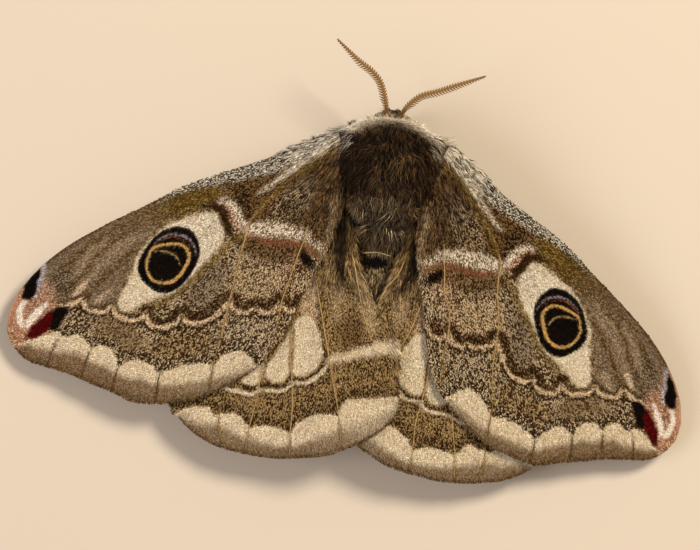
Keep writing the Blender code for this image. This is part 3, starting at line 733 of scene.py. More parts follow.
hindMarks = {
    "innerZone": [(-2, 2), (3, 2), (6.6, -2.6), (8.2, -5.6), (10.6, -8.8), (11.4, -10.0), (7.6, -11.5),
                  (5.6, -13.4), (2, -14), (-3, -8)],
    "rosyZone": [(6.9, -3.0), (8.0, -2.6), (10.0, -4.2), (10.6, -5.1), (9.9, -6.4), (8.6, -5.4),
                 (7.4, -4.0)],
    # dark hair along the forewing's rear edge, with the forewing's shadow painted in
    "hairShadowStripe": [(0.0, -0.4), (1.8, -1.8), (3.2, -3.0), (4.3, -4.1), (5.2, -5.3)],
    "ovalA": [(10.2, -5.3), (11.4, -5.0), (12.4, -6.0), (13.8, -7.4), (15.0, -8.4), (15.2, -9.0),
              (14.5, -9.65), (13.1, -9.9), (11.8, -9.5), (10.9, -8.4), (10.2, -7.2), (9.9, -6.2)],
    "ovalB": [(12.2, -5.35), (13.5, -5.8), (14.9, -6.1), (16.3, -6.4), (17.45, -6.95), (17.55, -7.7),
              (16.8, -8.5), (15.7, -8.6), (14.7, -7.75), (13.3, -6.5)],
    "ovalC": [(15.4, -5.2), (17.5, -5.6), (19.4, -5.8), (19.6, -6.4), (18.9, -7.0), (18.0, -7.05),
              (16.8, -6.2)],
    "shadeLines": [[(11.0, -8.9), (12.1, -9.95), (13.5, -10.2), (14.9, -9.85), (15.7, -9.0)],
                   [(16.0, -9.05), (17.1, -8.85), (18.0, -7.75), (19.4, -7.2), (19.8, -6.4), (20.3, -5.0)]],
    "creamLines": [[(11.3, -9.9), (12.2, -10.45), (13.3, -10.6), (14.7, -10.35), (15.7, -9.7),
                   (15.9, -9.3)], [(16.0, -9.6), (17.1, -9.35), (18.2, -8.5), (18.8, -7.9), (18.9, -7.5)],
                   [(18.9, -7.9), (19.9, -7.4), (20.5, -6.7), (21.0, -5.9), (21.8, -4.4), (22.0, -3.0)]],
    "wideBand": [(11.6, -10.2), (10.6, -10.6), (9.4, -11.3), (7.9, -12.1), (6.6, -12.8), (5.6, -13.9)],
    "cells": [[(26.4, -4.0), (25.0, -4.6), (24.1, -5.4), (24.05, -6.6)], [(24.05, -6.6), (22.9, -7.3),
              (22.2, -8.4), (22.3, -9.9)], [(22.3, -9.9), (21.0, -10.7), (20.1, -11.8), (19.65, -12.9)],
              [(19.65, -12.9), (18.5, -12.7), (16.5, -13.2), (15.1, -14.3), (14.7, -14.7)], [(14.7, -14.7),
              (13.7, -14.15), (12.6, -14.5), (10.9, -15.8), (9.1, -17.3)]],
    "cellEnd": [(8.4, -20), (20, -20), (30, -12), (29, -4)],
    "taupeEdge": [(27.2, -4.6), (25.6, -6.4), (24.1, -8.1), (23.4, -10.0), (22.2, -11.8), (20.8, -13.4),
                  (19.6, -14.4), (17.5, -15.1), (15.2, -15.9), (13.0, -16.9), (10.0, -18.0)],
    "eyeCentre": (15.6, -0.6),
}
hindSpots = [
    (0.7, (7.0, -6.6), 1.9, 0.8, -50, 0.7, "sand", "wheat", 0.5),
    (0.85, (8.0, -9.6), 1.8, 1.3, -50, 0.8, "bark", "cocoa", 0.6),
    (0.8, (4.9, -8.4), 3.2, 0.9, -62, 0.6, "sand", "wheat", 0.6),
]
hindLines = [
    ("wideBand", 0.7, (0.6, 1.0, 1.1), 0.3, "umber", "tan", 0.45),
    ("wideBand", 1.0, (0.25, 0.45, 0.6, 0.75), 0.42, "wheat", "cream", 0.66),
]
hindMargin = {
    "behind": (0.6, 0.6, "sand", 0.3), "cream": 0.72, "outside": [(8, -21), (32, -21), (32, -4)],
    "fade": ([9, 14, 16, 20], [0.4, 0.5, 0.8, 0.95]), "edge": (-0.4, 0.6), "taupe": 0.68,
    "rim": (0.45, 0.75), "rimFrom": 8, "veinStrength": 0.5, "veinWidth": (0.14, 0.12),
    "veins": ("upperMiddle", "middle", "lowerMiddle", "lower"),
}


def hindCoat(points, edges):
    marks = hindMarks
    p = points + 0.25 * trembleOf(points, (3, 4))
    coat = Coat(len(p), "umber", "tan", 0.55)
    coat.share += 0.16 * (mottle(p[:, 0], p[:, 1], 2.4, 5) - 0.5)
    inner = signedDistance(p, np.array(marks["innerZone"], float))
    coat.lay(band(-inner, 0.1, 0.5), "umber", "tan", 0.6)
    coat.laySpots(p, hindSpots)
    coat.lay(0.85 * filled(p, marks["rosyZone"], 0.4), "sand", "shell", 0.6)
    # dark hair along the forewing's rear edge, deepened by the forewing's painted shadow
    coat.lay(0.95 * stroke(p, marks["hairShadowStripe"], (1.0, 1.0, 0.75, 0.25), 0.5), "black", "umber", 0.45)
    for name in ("ovalA", "ovalB", "ovalC"):
        gap = -signedDistance(p, closedPath(marks[name]))
        coat.lay(0.8 * band(gap, 0.25, 0.22), "olive", "tan", 0.55)
        coat.lay(band(gap, 0.0, 0.2), "wheat", "cream", 0.75)
    golden = ("rear", "lower", "lowerMiddle", "middle")
    coat.layVeins(points, "hindwing", golden, 0.6, 0.1, 0.16, "brass", "tan", 0.6)
    for path in marks["shadeLines"]:
        coat.lay(0.9 * stroke(p, path, (0.1, 0.18, 0.18, 0.12), 0.12), "umber", "sand", 0.15)
    for path in marks["creamLines"]:
        coat.lay(0.7 * stroke(p, path, (0.3, 0.42, 0.42, 0.3), 0.15), "umber", "sand", 0.25)
        coat.lay(stroke(p, path, (0.12, 0.22, 0.22, 0.15), 0.1), "wheat", "cream", 0.65)
    coat.layLines(p, hindLines, marks)
    layMarginCells(coat, p, points, edges[1], "hindwing", marks, hindMargin)
    # the eyespot that the forewing hides
    ring = ellipseDistance(p, np.array(marks["eyeCentre"]), 2.6, 2.3, -30)
    coat.lay(band(ring, 1.1, 0.5), "bone", "chalk", 0.6)
    coat.lay(band(ring, 0, 0.12), "black", "soot", 0.25)
    coat.lay(band(np.abs(ring + 1.0), 0.17, 0.1), "tan", "gold", 0.8)
    coat.lay(band(ring + 1.3, 0, 0.1), "black", "mud", 0.25)
    return coat


def wingCoat(local, wingName, side, under=False):
    shape = wingShapes[wingName]
    edges = [pathDistance(local, shape[name])[0] for name in ("frontPath", "rearPath")]
    paint = foreCoat if wingName == "forewing" else hindCoat
    coat = paint(patternPlace(local, wingName, side), edges)
    if under:
        # the underside repeats the markings in paler, greyer scales
        greyed = 0.45
        coat.dark += greyed * (pigments["fawn"] - coat.dark)
        coat.light += greyed * (pigments["chalk"] - coat.light)
    return coat


# shade: the membrane takes the mean colour of the coat above it darkened by this, painted shade in the gaps
# between the scales
membrane = {"halfThickness": 0.05, "edgeInset": 0.012, "columns": 150, "rows": 66, "shade": 0.8}


def makeMembrane(wingName, side):
    # a thin closed sheet between the front and the rear edge
    shape = wingShapes[wingName]
    columns, rows, inset = membrane["columns"], membrane["rows"], membrane["edgeInset"]
    front = smoothPath(shape["front"], columns)
    rear = smoothPath(shape["rear"], columns)
    across = np.linspace(inset, 1 - inset, rows)
    local = (rear[:, None] + across[None, :, None] * (front - rear)[:, None]).reshape(-1, 2)
    here, alongU, alongV, normal = wingFrame(local, wingName, side)
    thick = membrane["halfThickness"] * np.minimum(1, 8 * np.minimum(across, 1 - across) + 0.3)
    thick = np.tile(thick, columns)[:, None]
    points = np.vstack([here + normal * thick, here - normal * thick])
    under = columns * rows
    index = np.arange(under).reshape(columns, rows)
    quads = np.stack([index[:-1, :-1], index[1:, :-1], index[1:, 1:], index[:-1, 1:]], axis=-1).reshape(-1, 4)
    rim = np.concatenate([index[:, 0], index[-1, 1:], index[-2::-1, -1], index[0, -2:0:-1]])
    after = np.roll(rim, -1)
    wall = np.stack([rim, rim + under, after + under, after], axis=1)
    faces = np.vstack([quads, quads[:, ::-1] + under, wall])
    if side == "left":
        faces = faces[:, ::-1]
    # the coat's mean colour, darkened as painted shade where the sheet shows between the scales
    coats = [wingCoat(local, wingName, side, below).mean() for below in (False, True)]
    piece = makePiece(wingName + "_membrane_" + side, points, faces, materials["membrane"],
                      membrane["shade"] * np.vstack(coats), smooth=True)
    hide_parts(wingName + "_" + side)


scaleCoat = {
    "upper": {"along": 0.155, "across": 0.1, "length": 0.27, "width": 0.135},
    "under": {"along": 0.3, "across": 0.2, "length": 0.5, "width": 0.27},
    "lift": 0.045, "ridgeAt": 0.62, "ridgeLift": 0.035, "fan": (-5.0, 3.5), "seenAt": 0.75, "fringe": 0.05,
    "edgeGap": 0.2, "bakeSpan": 42.0, "quickCoarser": 1.4,
}


def scalePoints(wingName, along, across):
    # staggered rows over the wing, a little uneven
    outline = wingShapes[wingName]["outline"]
    low, high = outline.min(axis=0), outline.max(axis=0)
    u, v = np.meshgrid(np.arange(low[0], high[0], along), np.arange(low[1], high[1], across), indexing="ij")
    v[1::2] += across / 2
    points = np.stack([u.ravel(), v.ravel()], axis=1)
    points += (dice.random(points.shape) - 0.5) * [0.7 * along, 0.7 * across]
    points = points[insideOf(points, outline)]
    gap = pathDistance(points, np.vstack([outline, outline[:1]]))[0]
    return points[gap > scaleCoat["edgeGap"]]


def bakeSpots(local, wingName):
    low = wingShapes[wingName]["outline"].min(axis=0) - 1.0
    return (local - low) / scaleCoat["bakeSpan"]


def makeScales(wingName, side, under):
    # small overlapping plates that fan out from the root and follow the front edge where it is near
    values = scaleCoat
    along, across, length, width = values["under" if under else "upper"].values()
    roots = scalePoints(wingName, along, across)
    count = len(roots)
    here, alongU, alongV, normal = wingFrame(roots, wingName, side)
    if under:
        normal = -normal
    front = wingShapes[wingName]["frontPath"]
    frontGap, where = pathDistance(roots, front)
    rearGap = pathDistance(roots, wingShapes[wingName]["rearPath"])[0]
    nearFront = softStep(frontGap, 0.9, 0.3)
    slopes = np.gradient(front, axis=0)
    edgeAngle = np.interp(where, np.linspace(0, 1, len(front)), np.arctan2(slopes[:, 1], slopes[:, 0])) - 0.05
    away = roots - np.array(values["fan"])
    angle = np.arctan2(away[:, 1], away[:, 0])
    angle += nearFront * (edgeAngle - angle) + (0.22 - 0.15 * nearFront) * dice.standard_normal(count)
    lean = np.stack([np.cos(angle), np.sin(angle)], axis=1)
    coat = wingCoat(roots + values["seenAt"] * length * lean, wingName, side, under)
    tangent = unit(alongU * lean[:, :1] + alongV * lean[:, 1:])
    sideways = np.cross(normal, tangent)
    fine = 1 - 0.25 * softStep(frontGap, 1.8, 0.8)
    size = (fine * np.minimum(length * (0.8 + 0.4 * dice.random(count)), rearGap + values["fringe"]))[:, None]
    half = (fine * width * (0.8 + 0.4 * dice.random(count)))[:, None] / 2
    flatter = 1 - 0.6 * np.maximum(nearFront, softStep(rearGap, 0.7, 0.3))
    lift = (values["lift"] * (0.5 + dice.random(count)) * flatter)[:, None]
    tilt = (0.03 * dice.standard_normal(count))[:, None]
    base = here + normal * (membrane["halfThickness"] * 0.8)
    tip = base + tangent * size + normal * lift
    ridge = base + tangent * size * values["ridgeAt"] + normal * (lift + values["ridgeLift"])
    corners = np.stack([base, tip - sideways * half + normal * tilt, tip + sideways * half - normal * tilt,
                        ridge], axis=1)
    faces = np.array([[3, 1, 0], [2, 3, 0], [3, 2, 1], [1, 2, 0]])
    faces = (faces[None] + 4 * np.arange(count)[:, None, None]).reshape(-1, 3)
    patch = bakePatch * np.array([[-1, 0], [1, -1], [1, 1], [0, 0]])
    places = (bakeSpots(roots, wingName)[:, None, :] + patch[None]).reshape(-1, 2)
    name = wingName + ("_under_scales_" if under else "_scales_") + side
    makePiece(name, corners.reshape(-1, 3), faces, materials["scales"],
              np.repeat(coat.pick(), 4, axis=0), places)
    print(name, count, "scales")


# raised veins: golden where they cross the speckled rear half, dark between the pale cells
veinRidges = {
    "forewing": [
        ("secondBranch", 0.36, 0.8, "tan"), ("rear", 0.3, 0.8, "tan"), ("secondBranch", 0.83, 1.0, "brass"),
        ("firstBranch", 0.84, 1.0, "mud"), ("lowerMiddle", 0.86, 1.0, "mud"), ("middle", 0.86, 1.0, "mud"),
        ("upperMiddle", 0.88, 1.0, "mud")],
    "hindwing": [
        ("rear", 0.18, 0.62, "tan"), ("lower", 0.3, 0.99, "tan"), ("lowerMiddle", 0.2, 0.99, "tan"),
        ("middle", 0.45, 0.98, "tan"), ("upperMiddle", 0.7, 0.98, "ochre")],
    "radius": 0.055, "height": (0.36, 0.1), "hairReach": (7.0, 10.0), "steps": 36, "sides": 6,
    "fineSteps": 200,
}


def makeVeinRidges(wingName, side):
    values = veinRidges
    fineSteps, count = values["fineSteps"], values["sides"]
    shapes, tones, spots = [], [], []
    for name, start, end, colour in values[wingName]:
        course = smoothPath(veins[wingName][name], fineSteps)
        first = int(fineSteps * start)
        course = smoothPath(course[first:max(int(fineSteps * end), first + 3)], values["steps"])
        local = course.copy()
        for again in range(6):
            # closes in on the place whose marking lies on the vein
            local = course - (patternPlace(local, wingName, side) - local)
        local = local[insideOf(local, wingShapes[wingName]["outline"])]
        here, alongU, alongV, normal = wingFrame(local, wingName, side)
        line = here + normal * np.interp(np.hypot(*local.T), values["hairReach"], values["height"])[:, None]
        taper = np.interp(np.linspace(0, 1, len(line)), [0, 0.1, 0.8, 1], [0.3, 1, 0.8, 0.4])
        shapes.append(tube(line, values["radius"] * taper, count))
        grain = 0.75 + 0.5 * dice.random(len(shapes[-1][0]))
        tones.append(pigments[colour] * grain[:, None])
        where = np.concatenate([np.repeat(np.arange(len(line)), count), [0, len(line) - 1]])
        spots.append(bakeSpots(local[where], wingName))
    points, faces = joined(shapes)
    makePiece(wingName + "_veins_" + side, points, faces, materials["scales"],
              np.vstack(tones),
              np.vstack(spots), smooth=True)


for wingName in wingShapes:
    for side in leftRight:
        makeMembrane(wingName, side)
        makeScales(wingName, side, under=False)
        makeScales(wingName, side, under=True)
        makeVeinRidges(wingName, side)
print("wings done")


# the skin lies under the solids by the depth of the coat, which differs from part to part
# shade darkens the coat's colour for the skin: painted shade under the hair
bodySkin = {"depth": {"thorax": 0.65, "abdomen": 0.45, "head": 0.3, "palp": 0.16, "leg": 0.09},
            "voxel": 0.13, "smoothing": 6, "shade": 0.6}
# soft links that close the gaps between the solids: centre and radii on the right side
softLinks = [((0.0, 6.5, 5.1), (1.2, 1.5, 1.2)), ((0.0, -2.5, 5.4), (1.7, 1.3, 1.6)),
             ((0.45, 8.5, 3.9), (0.4, 0.4, 0.5)), ((1.2, 5.0, 1.9), (0.6, 0.6, 0.7)),
             ((1.4, 2.9, 1.9), (0.65, 0.65, 0.8)), ((1.5, 0.4, 2.1), (0.65, 0.65, 0.9))]
fleshNodes = sorted(name for name in cadNodes if name.split("_")[0] in bodySkin["depth"])


def shrunkCopy(nodeName):
    # a solid drawn in by the depth of its coat
    depth = bodySkin["depth"][nodeName.split("_")[0]] * mm
    mesh = cadNodes[nodeName].data.copy()
    bm = bmesh.new()
    bm.from_mesh(mesh)
    bmesh.ops.remove_doubles(bm, verts=bm.verts, dist=0.002 * mm)
    bm.normal_update()
    for vert in bm.verts:
        vert.co -= vert.normal * depth
    bm.to_mesh(mesh)
    bm.free()
    piece = bpy.data.objects.new(nodeName + "_flesh", mesh)
    bpy.context.scene.collection.objects.link(piece)
    return piece


# front rim of the fur, seen from above, on the right side
collarLine = smoothPath([(0.0, 8.3), (1.2, 8.2), (2.6, 7.8), (3.7, 7.2), (4.5, 6.6), (5.0, 6.0)], 30)


def rimGap(x, y):
    # distance to the collar's line, on either side of the body
    return pathDistance(np.stack([np.abs(x), y], axis=1), collarLine)[0]


def bodyShade(x, y, z):
    # the coat's pigments by place: dark back, pale collar, and a cream rim over the hind body with a black
    # gap behind it; that gap, dark holes in the hair and the dark sides behind the thorax are painted shade
    def oval(cx, cy, rx, ry, soft):
        return 1 - softStep(np.hypot((x - cx) / rx, (y - cy) / ry), 1 - soft, 1 + soft)

    coat = Coat(len(x), "black", "mud", 0.42)
    rings = 0.5 + 0.5 * np.cos(2 * math.pi * (y + 5.4) / 2.1)
    hindBody = softStep(y, -3.0, -4.2) * (z < 7)
    above = softStep(z, 4.0, 5.5)
    grey = softStep(y, 0.4, -1.6) * softStep(mottle(x, y, 0.9, 3), 0.1, 0.7)
    # dark holes in the hair behind the thorax: painted shade
    shadowHoles = oval(0.45, -1.3, 0.35, 0.7, 0.5) + oval(0.5, -4.0, 0.4, 0.8, 0.5)
    coat.lay(0.8 * oval(0.6, 2.4, 2.3, 2.8, 0.6) * above, "soot", "cocoa", 0.42)
    coat.lay(0.5 * softStep(x, 1.8, 3.4) * above, "bark", "cocoa", 0.35)
    coat.lay(softStep(y, 1.6, -0.4) * softStep(np.abs(x), 3.6, 2.8) * above, "bark", "cocoa", 0.55)
    coat.lay(0.85 * grey * above, "umber", "bone", 0.5)
    coat.lay(0.9 * shadowHoles * above, "black", "umber", 0.25)
    coat.lay(hindBody, "umber", "sand", 0.5)
    coat.lay(0.85 * oval(0.3, -8.4, 1.4, 1.9, 0.4), "cocoa", "bone", 0.5)
    coat.lay(hindBody * softStep(rings, 0.75, 0.95) * (z < 5), "tan", "cream", 0.6)
    # darker at the sides behind the thorax, along the wings' inner edges: painted shade
    coat.lay(softStep(np.abs(x), 3.2, 4.2) * softStep(y, 1.0, -1.5), "black", "umber", 0.35)
    # black band where the hind body falls away between the wings, behind the cream rim: painted shade
    coat.lay(oval(0.05, -6.1, 1.35, 0.6, 0.3) * above, "black", "soot", 0.3)
    coat.lay(0.7 * oval(0.1, -5.25, 1.3, 0.14, 0.5) * above, "tan", "wheat", 0.6)
    rim = rimGap(x, y)
    collar = softStep(z, 3.9, 5.1) * softStep(y, 5.7, 6.7)
    coat.lay(0.8 * band(rim, 0.9, 0.3) * collar, "fawn", "ash", 0.65)
    coat.lay(band(rim, 0.64, 0.25) * collar, "ash", "snow", 0.8)
    coat.lay(softStep(y, 6.7, 7.2) * softStep(z, 5.6, 4.8), "mud", "sand", 0.5)
    coat.lay(softStep(y, 8.1, 8.6), "bark", "mud", 0.5)
    coat.lay(softStep(z, 4.2, 2.6) * (y > -3), "mud", "fawn", 0.55)
    return coat


def makeSkin():
    # all the fleshy parts as one skin with no seams
    flesh = [shrunkCopy(name) for name in fleshNodes]
    bpy.ops.object.select_all(action="DESELECT")
    for centre, radii in softLinks:
        for sign in ((1, -1) if centre[0] else (1,)):
            spot = toWorld(np.array(centre) * [sign, 1, 1])
            bpy.ops.mesh.primitive_uv_sphere_add(segments=24, ring_count=16, radius=mm, location=spot)
            bpy.context.object.scale = radii
            flesh.append(bpy.context.object)
    bpy.ops.object.select_all(action="DESELECT")
    for part in flesh:
        part.select_set(True)
    skin = flesh[0]
    bpy.context.view_layer.objects.active = skin
    bpy.ops.object.transform_apply(location=False, rotation=False, scale=True)
    bpy.ops.object.join()
    remesh = skin.modifiers.new("oneSkin", "REMESH")
    remesh.mode = "VOXEL"
    remesh.voxel_size = bodySkin["voxel"] * mm
    bpy.ops.object.modifier_apply(modifier=remesh.name)
    smooth = skin.modifiers.new("soften", "SMOOTH")
    smooth.factor = 0.5
    smooth.iterations = bodySkin["smoothing"]
    bpy.ops.object.modifier_apply(modifier=smooth.name)
    bpy.ops.object.transform_apply(location=True, rotation=True, scale=True)
    skin.name = "body_skin"
    skin.data.name = "body_skin"
    skin.data.shade_smooth()
    # the coat's colours darkened as painted shade under the hair
    paintPoints(skin.data, bodySkin["shade"] * bodyShade(*pointsOf(skin.data).T).mean())
    skin.data.materials.clear()
    skin.data.materials.append(materials["skin"])
    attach(skin, "root")
    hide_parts(*fleshNodes)
    print("skin", len(skin.data.polygons), "faces")
    return skin


# one lock: a closed sliver with a three-sided section that swells to its middle and ends in a point
lockShape = {
    "sections": ((0, 0.8), (0.5, 1.0), (1, 0)),   # share of the length, and the width there
    "faces": [(0, 1, 2), (0, 3, 4), (0, 4, 1), (1, 4, 5), (1, 5, 2), (2, 5, 3), (2, 3, 0), (3, 6, 4),
              (4, 6, 5),
              (5, 6, 3)],
    # darker at the root and lighter at the tip: painted shade near the skin and painted light at the tip
    "rootShadeTipLight": np.repeat([0.7, 0.95, 1.15], [3, 3, 1]), "points": 7, "keel": 1.3,
}


def makeHair(name, roots, normals, directions, coat, spots, values, lengths, rises=None):
    # locks rise from the skin along their directions and lie down again
    count = len(roots)
    rises = np.full(count, values["rise"]) if rises is None else rises
    directions = unit(directions - normals * np.sum(directions * normals, axis=1, keepdims=True))
    # neighbouring hairs lean and gather together
    centres = roots[dice.integers(0, count, max(8, int(count / values["lockSize"])))]
    nearest = np.empty(count, int)
    for start in range(0, count, 2000):
        gap = np.linalg.norm(roots[start:start + 2000, None] - centres[None], axis=2)
        nearest[start:start + 2000] = gap.argmin(axis=1)
    pulls = (centres[nearest] - roots) * values["gather"]
    lockTurn = dice.normal(0, values["lockTurn"], len(centres))[nearest]
    lockTone = dice.normal(1, values["lockTone"], len(centres))[nearest].clip(0.4, 1.8)
    turn = (lockTurn + dice.normal(0, values["stray"], count))[:, None]
    directions = directions * np.cos(turn) + np.cross(directions, normals) * np.sin(turn)
    sideways = np.cross(directions, normals)
    lengths = lengths * (0.7 + 0.6 * dice.random(count))
    rises = rises * (0.5 + dice.random(count))
    bends = dice.normal(0, values["bend"], count)
    widths = values["width"] * (0.75 + 0.5 * dice.random(count))
    rows = []
    for share, fullness in lockShape["sections"]:
        middle = (roots + directions * (lengths * share)[:, None]
                  + normals * (rises * lengths * share * (2 - share))[:, None]
                  + sideways * (bends * lengths * share ** 2)[:, None] + pulls * share ** 2)
        half = (widths * fullness / 2)[:, None]
        if fullness:
            keel = normals * half * lockShape["keel"]
            rows += [middle - sideways * half, middle + sideways * half, middle + keel]
        else:
            rows.append(middle)
    perLock = lockShape["points"]
    faces = np.array(lockShape["faces"])[None] + perLock * np.arange(count)[:, None, None]
    # each lock darker at its root and lighter at its tip: painted shade and painted light
    colours = (coat.pick() * lockTone[:, None])[:, None, :] * lockShape["rootShadeTipLight"][None, :, None]
    patch = bakePatch * np.stack([np.resize([-1, 1, 0], perLock), np.linspace(-1, 1, perLock)], axis=1)
    makePiece(name, np.stack(rows, axis=1).reshape(-1, 3), faces.reshape(-1, 3), materials["hair"],
              colours.reshape(-1, 3), (spots[:, None, :] + patch[None]).reshape(-1, 2))
    print(name, count, "locks")


def scatter(piece, count, density):
    # random roots on a mesh in proportion to density(place, normal), with their normals
    mesh = piece.data
    mesh.calc_loop_triangles()
    place = pointsOf(mesh)
    corners = np.empty(3 * len(mesh.loop_triangles), np.int32)
    mesh.loop_triangles.foreach_get("vertices", corners)
    a, b, c = (place[corners[k::3]] for k in range(3))
    cross = np.cross(b - a, c - a)
    area = np.linalg.norm(cross, axis=1)
    weight = area * density((a + b + c) / 3, unit(cross))
    pick = dice.choice(len(area), count, p=weight / weight.sum())
    s, t = dice.random(count), dice.random(count)
    flip = s + t > 1
    s[flip], t[flip] = 1 - s[flip], 1 - t[flip]
    roots = a[pick] + s[:, None] * (b - a)[pick] + t[:, None] * (c - a)[pick]
    return roots, unit(cross)[pick]


def aroundBody(roots):
    # unwrap of the body: angle about its long axis, and length from tail to head
    angle = np.arctan2(roots[:, 0], roots[:, 2] - 5.0) / (2 * math.pi) + 0.5
    return np.stack([0.01 + 0.98 * angle, (roots[:, 1] + 14.0) / 24.0], axis=1)


# width of a lock in millimetres, hairs to a gathered lock, and how far they turn, stray and bend
hairBase = {"width": 0.05, "rise": 0.2, "lockSize": 20, "gather": 0.4, "lockTurn": 0.2, "lockTone": 0.15,
            "stray": 0.15, "bend": 0.12}
bodyHair = {
    "thorax_hair": {"count": 19500, "length": 2.0, "width": 0.052, "rise": 0.24, "lockSize": 30,
                    "gather": 0.5,
                    "lockTurn": 0.36, "lockTone": 0.55, "stray": 0.16, "bend": 0.2},
    "collar_hair": {"count": 7500, "length": 0.85, "rise": 0.34, "lockSize": 18, "lockTurn": 0.3,
                    "lockTone": 0.12, "stray": 0.25, "bend": 0.2},
    "shoulder_hair": {"count": 3000, "length": 1.9, "lockTurn": 0.15, "stray": 0.12, "bend": 0.1},
    "brow_hair": {"count": 1500, "length": 1.0, "rise": 0.12, "lockSize": 12, "lockTurn": 0.15, "bend": 0.1},
    "head_hair": {"count": 5000, "length": 0.5, "rise": 0.35, "lockSize": 14, "lockTurn": 0.25, "stray": 0.2,
                  "bend": 0.15},
    "breast_hair": {"count": 8500, "length": 1.5, "width": 0.095, "rise": 0.25, "lockTone": 0.18},
    "abdomen_hair": {"count": 9500, "length": 1.3, "width": 0.075, "rise": 0.22},
}


def bodyLie(p):
    # the hair lies backwards, stands up along the collar and hangs down over the face
    x, y, z = p.T
    same = np.ones(len(x))
    lie = np.stack([0.1 * x, -same, -0.06 * np.abs(x) - 0.1 * (z < 5)], axis=1)
    collar = (softStep(rimGap(x, y), 1.0, 0.55) * softStep(z, 4.8, 5.8))[:, None]
    lie = lie * (1 - collar) + collar * np.stack([0.25 * x, -0.5 * same, same], axis=1)
    face = (softStep(y, 6.4, 7.0) * softStep(z, 6.0, 5.2))[:, None]
    return lie * (1 - face) + face * np.stack([0.3 * x, 0.35 * same, -same], axis=1)


def makeBodyHair(skin):
    def build(name, density, lengthOf=None, lieOf=bodyLie, paint=None):
        values = hairBase | bodyHair[name]
        roots, normals = scatter(skin, values["count"], lambda p, n: density(*p.T))
        lengths = np.full(len(roots), values["length"])
        if lengthOf:
            lengths *= lengthOf(*roots.T)
        lie = lieOf(roots)
        along = unit(lie - normals * np.sum(lie * normals, axis=1, keepdims=True))
        seen = roots + along * lengths[:, None] * 0.5
        coat = bodyShade(seen[:, 0], seen[:, 1], roots[:, 2])
        if paint:
            coat.lay(np.ones(len(roots)), *paint)
        makeHair(name, roots, normals, lie, coat, aroundBody(roots), values, lengths)

    def isLeg(x, y, z):
        return (np.abs(x) > 2.1) & (z < 3.4) | (z < 1.7) & (y > -2.5)

    def isHead(x, y, z):
        return (y > 6.75) & (z < 5.4) | (y > 7.9)

    def isCollar(x, y, z):
        return (rimGap(x, y) < 0.85) & (z > 4.8) & ~isHead(x, y, z)

    def isBack(x, y, z):
        return (y > -2.6) & ~isHead(x, y, z) & ~isCollar(x, y, z) & ~isLeg(x, y, z)

    build("thorax_hair", lambda x, y, z: isBack(x, y, z) * (softStep(z, 4.5, 6.5) + 0.02),
          lambda x, y, z: 0.75 + 0.45 * softStep(y, 1.0, -1.5))
    build("collar_hair", lambda x, y, z: isCollar(x, y, z) * 1.0)
    build("shoulder_hair", lambda x, y, z: (np.abs(x) > 3.2) & (y > 5.4) & (z > 4.8) & (rimGap(x, y) < 1.5),
          lieOf=lambda p: np.stack([np.sign(p[:, 0]), np.full(len(p), -0.5), np.full(len(p), 0.45)], axis=1),
          paint=("mud", "chalk", 0.52))
    build("brow_hair", lambda x, y, z: (y > 6.9) & (y < 8.3) & (z > 5.0) & (abs(abs(x) - 1.5) < 0.8),
          lieOf=lambda p: np.stack([0.3 * p[:, 0], np.ones(len(p)), np.zeros(len(p))], axis=1),
          paint=("fawn", "ash", 0.55))
    build("head_hair", isHead, lambda x, y, z: 1 - 0.5 * softStep(y, 8.2, 9.2))
    build("breast_hair", lambda x, y, z: isBack(x, y, z) * (1 - softStep(z, 4.5, 6.5)))
    build("abdomen_hair", lambda x, y, z: (y <= -2.5) & ~isLeg(x, y, z),
          lambda x, y, z: 1 - 0.5 * softStep(y, -3.4, -4.4) * softStep(z, 4.0, 5.5) * (y > -7.5))


skin = makeSkin()
makeBodyHair(skin)


# fine pale hairs that lie loose over the rear of the thorax: a forked one, the rim of the dark gap
# behind it, and curled ones at random
wisps = {
    "forked": [[(-0.35, -1.85), (0.0, -2.2), (0.5, -2.35), (1.0, -2.25), (1.5, -1.8)],
               [(0.35, -2.35), (0.6, -2.7), (0.65, -3.2), (0.75, -3.7)]],
    "rim": [(-1.25, -5.35), (0.1, -5.12), (1.35, -5.3)], "rimThick": 0.07, "rimAbove": 0.34,
    "forkedThick": 0.045, "forkedAbove": 1.05, "thick": 0.018, "above": 0.92,
    "count": 360, "area": ((-2.9, 3.1), (-3.4, 0.6)), "length": (1.2, 2.8), "curl": 0.9, "steps": 8,
}


